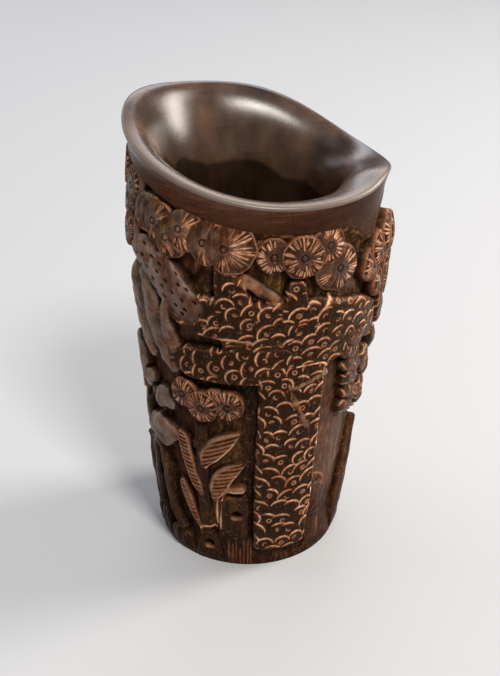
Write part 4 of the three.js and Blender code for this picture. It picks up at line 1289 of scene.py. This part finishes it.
# %% Disc and seal
slice_horn, tree, shader = material("scraped_horn_end_grain", Roughness=0.46, IOR=1.56)
place = add(tree, "ShaderNodeTexCoord").outputs["Object"]
specks = add(tree, "ShaderNodeTexVoronoi", {"Scale": 1 / (0.7 * MM)}, Vector=place)
mottle = add(tree, "ShaderNodeTexNoise", {"Scale": 1 / (9 * MM), "Detail": 4.0}, Vector=place)
darker = ramp(tree, specks.outputs["Distance"], (0.1, 0.6), "#4a3224 #2c1c15")
lighter = ramp(tree, specks.outputs["Distance"], (0.2, 0.7), "#5c4030 #36241b")
speckled = blend(tree, mottle.outputs["Fac"], darker, lighter)
tree.links.new(speckled, shader.inputs["Base Color"])
scrape = add(tree, "ShaderNodeTexNoise", {"Scale": 1 / (0.4 * MM), "Detail": 3.0}, Vector=place)
bump = add(tree, "ShaderNodeBump", {"Strength": 0.2, "Distance": 0.0001},
           Height=scrape.outputs["Fac"])
tree.links.new(bump.outputs[0], shader.inputs["Normal"])

lacquer, tree, shader = material("brushed_dark_lacquer", Roughness=0.16, IOR=1.5)
place = add(tree, "ShaderNodeTexCoord").outputs["Object"]
pool = add(tree, "ShaderNodeTexNoise", {"Scale": 1 / (4 * MM), "Detail": 2.0}, Vector=place)
coats = ramp(tree, pool.outputs["Fac"], (0.3, 0.7), "#120a07 #24140d")
tree.links.new(coats, shader.inputs["Base Color"])

for node, finish in (("base_disc", slice_horn), ("seal_bead", lacquer)):
    nodes[node].data.materials.clear()
    nodes[node].data.materials.append(finish)
    print(node, "is", finish.name)

# %% [markdown]
# ## The table and the light
#
# The cup stands on a pale sheet in a bright room. Two panes of a window on the right, one over
# the other, throw the long soft shadow to the left and the upright streak inside the mouth. A
# lamp above the viewer gives the level streak at the back, and a light from behind lines the
# edges. The ceiling and a pale wall at the back on the left soften the shadows.

# %% Floor
FLOOR_SIZE = 6.0
half = FLOOR_SIZE / 2
corners = [(-half, -half, 0), (half, -half, 0), (half, half, 0), (-half, half, 0)]
floor_mesh = bpy.data.meshes.new("table_top")
floor_mesh.from_pydata(corners, [], [(0, 1, 2, 3)])
floor = bpy.data.objects.new("table_top", floor_mesh)
bpy.context.scene.collection.objects.link(floor)
sheet, tree, shader = material("pale_matte_sheet", Roughness=0.6)
shader.inputs["Base Color"].default_value = srgb("#c1c3c6")
floor.data.materials.append(sheet)
print(floor.name, FLOOR_SIZE, "m wide")

# %% Lights
world = bpy.data.worlds.new("room")
world.use_nodes = True
bpy.context.scene.world = world
backdrop = world.node_tree.nodes["Background"]
backdrop.inputs["Color"].default_value = srgb("#eef0f4")
backdrop.inputs["Strength"].default_value = 0.15


def soft_light(name, azimuth, elevation, distance, size, power, tint):
    """A flat light that faces the cup. Azimuth 0 is towards the camera and 90 is right."""
    lamp = bpy.data.lights.new(name, "AREA")
    lamp.shape = "RECTANGLE"
    lamp.size, lamp.size_y = size
    lamp.energy = power
    lamp.color = srgb(tint)[:3]
    holder = bpy.data.objects.new(name, lamp)
    turn, climb = radians(azimuth), radians(elevation)
    level = distance * np.cos(climb)
    aim = Vector((level * np.sin(turn), -level * np.cos(turn), distance * np.sin(climb)))
    holder.location = aim + Vector((0, 0, RIM_HEIGHT * MM))
    holder.rotation_euler = (-aim).to_track_quat("-Z", "Y").to_euler()
    bpy.context.scene.collection.objects.link(holder)


# Each row gives the azimuth, elevation, distance, size, power and tint.
LIGHTS = {
    "window_right": (106, 16, 1.0, (0.38, 0.38), 7.2, "#fff6ea"),
    "window_top": (110, 33, 1.0, (0.3, 0.3), 4.5, "#fffaf2"),
    "lamp_above": (23, 50, 1.0, (0.22, 0.26), 8.2, "#fffaf2"),
    "light_behind": (178, 31, 1.1, (0.8, 0.3), 3.5, "#f6f6fb"),
    "ceiling": (0, 88, 1.1, (1.0, 1.0), 1.6, "#f4f6fb"),
    "pale_wall": (-120, 22, 1.2, (1.5, 0.9), 8, "#eeeaee"),
}
for name, settings in LIGHTS.items():
    soft_light(name, *settings)
bpy.context.scene.view_settings.view_transform = "Standard"
print(len(LIGHTS), "lights")
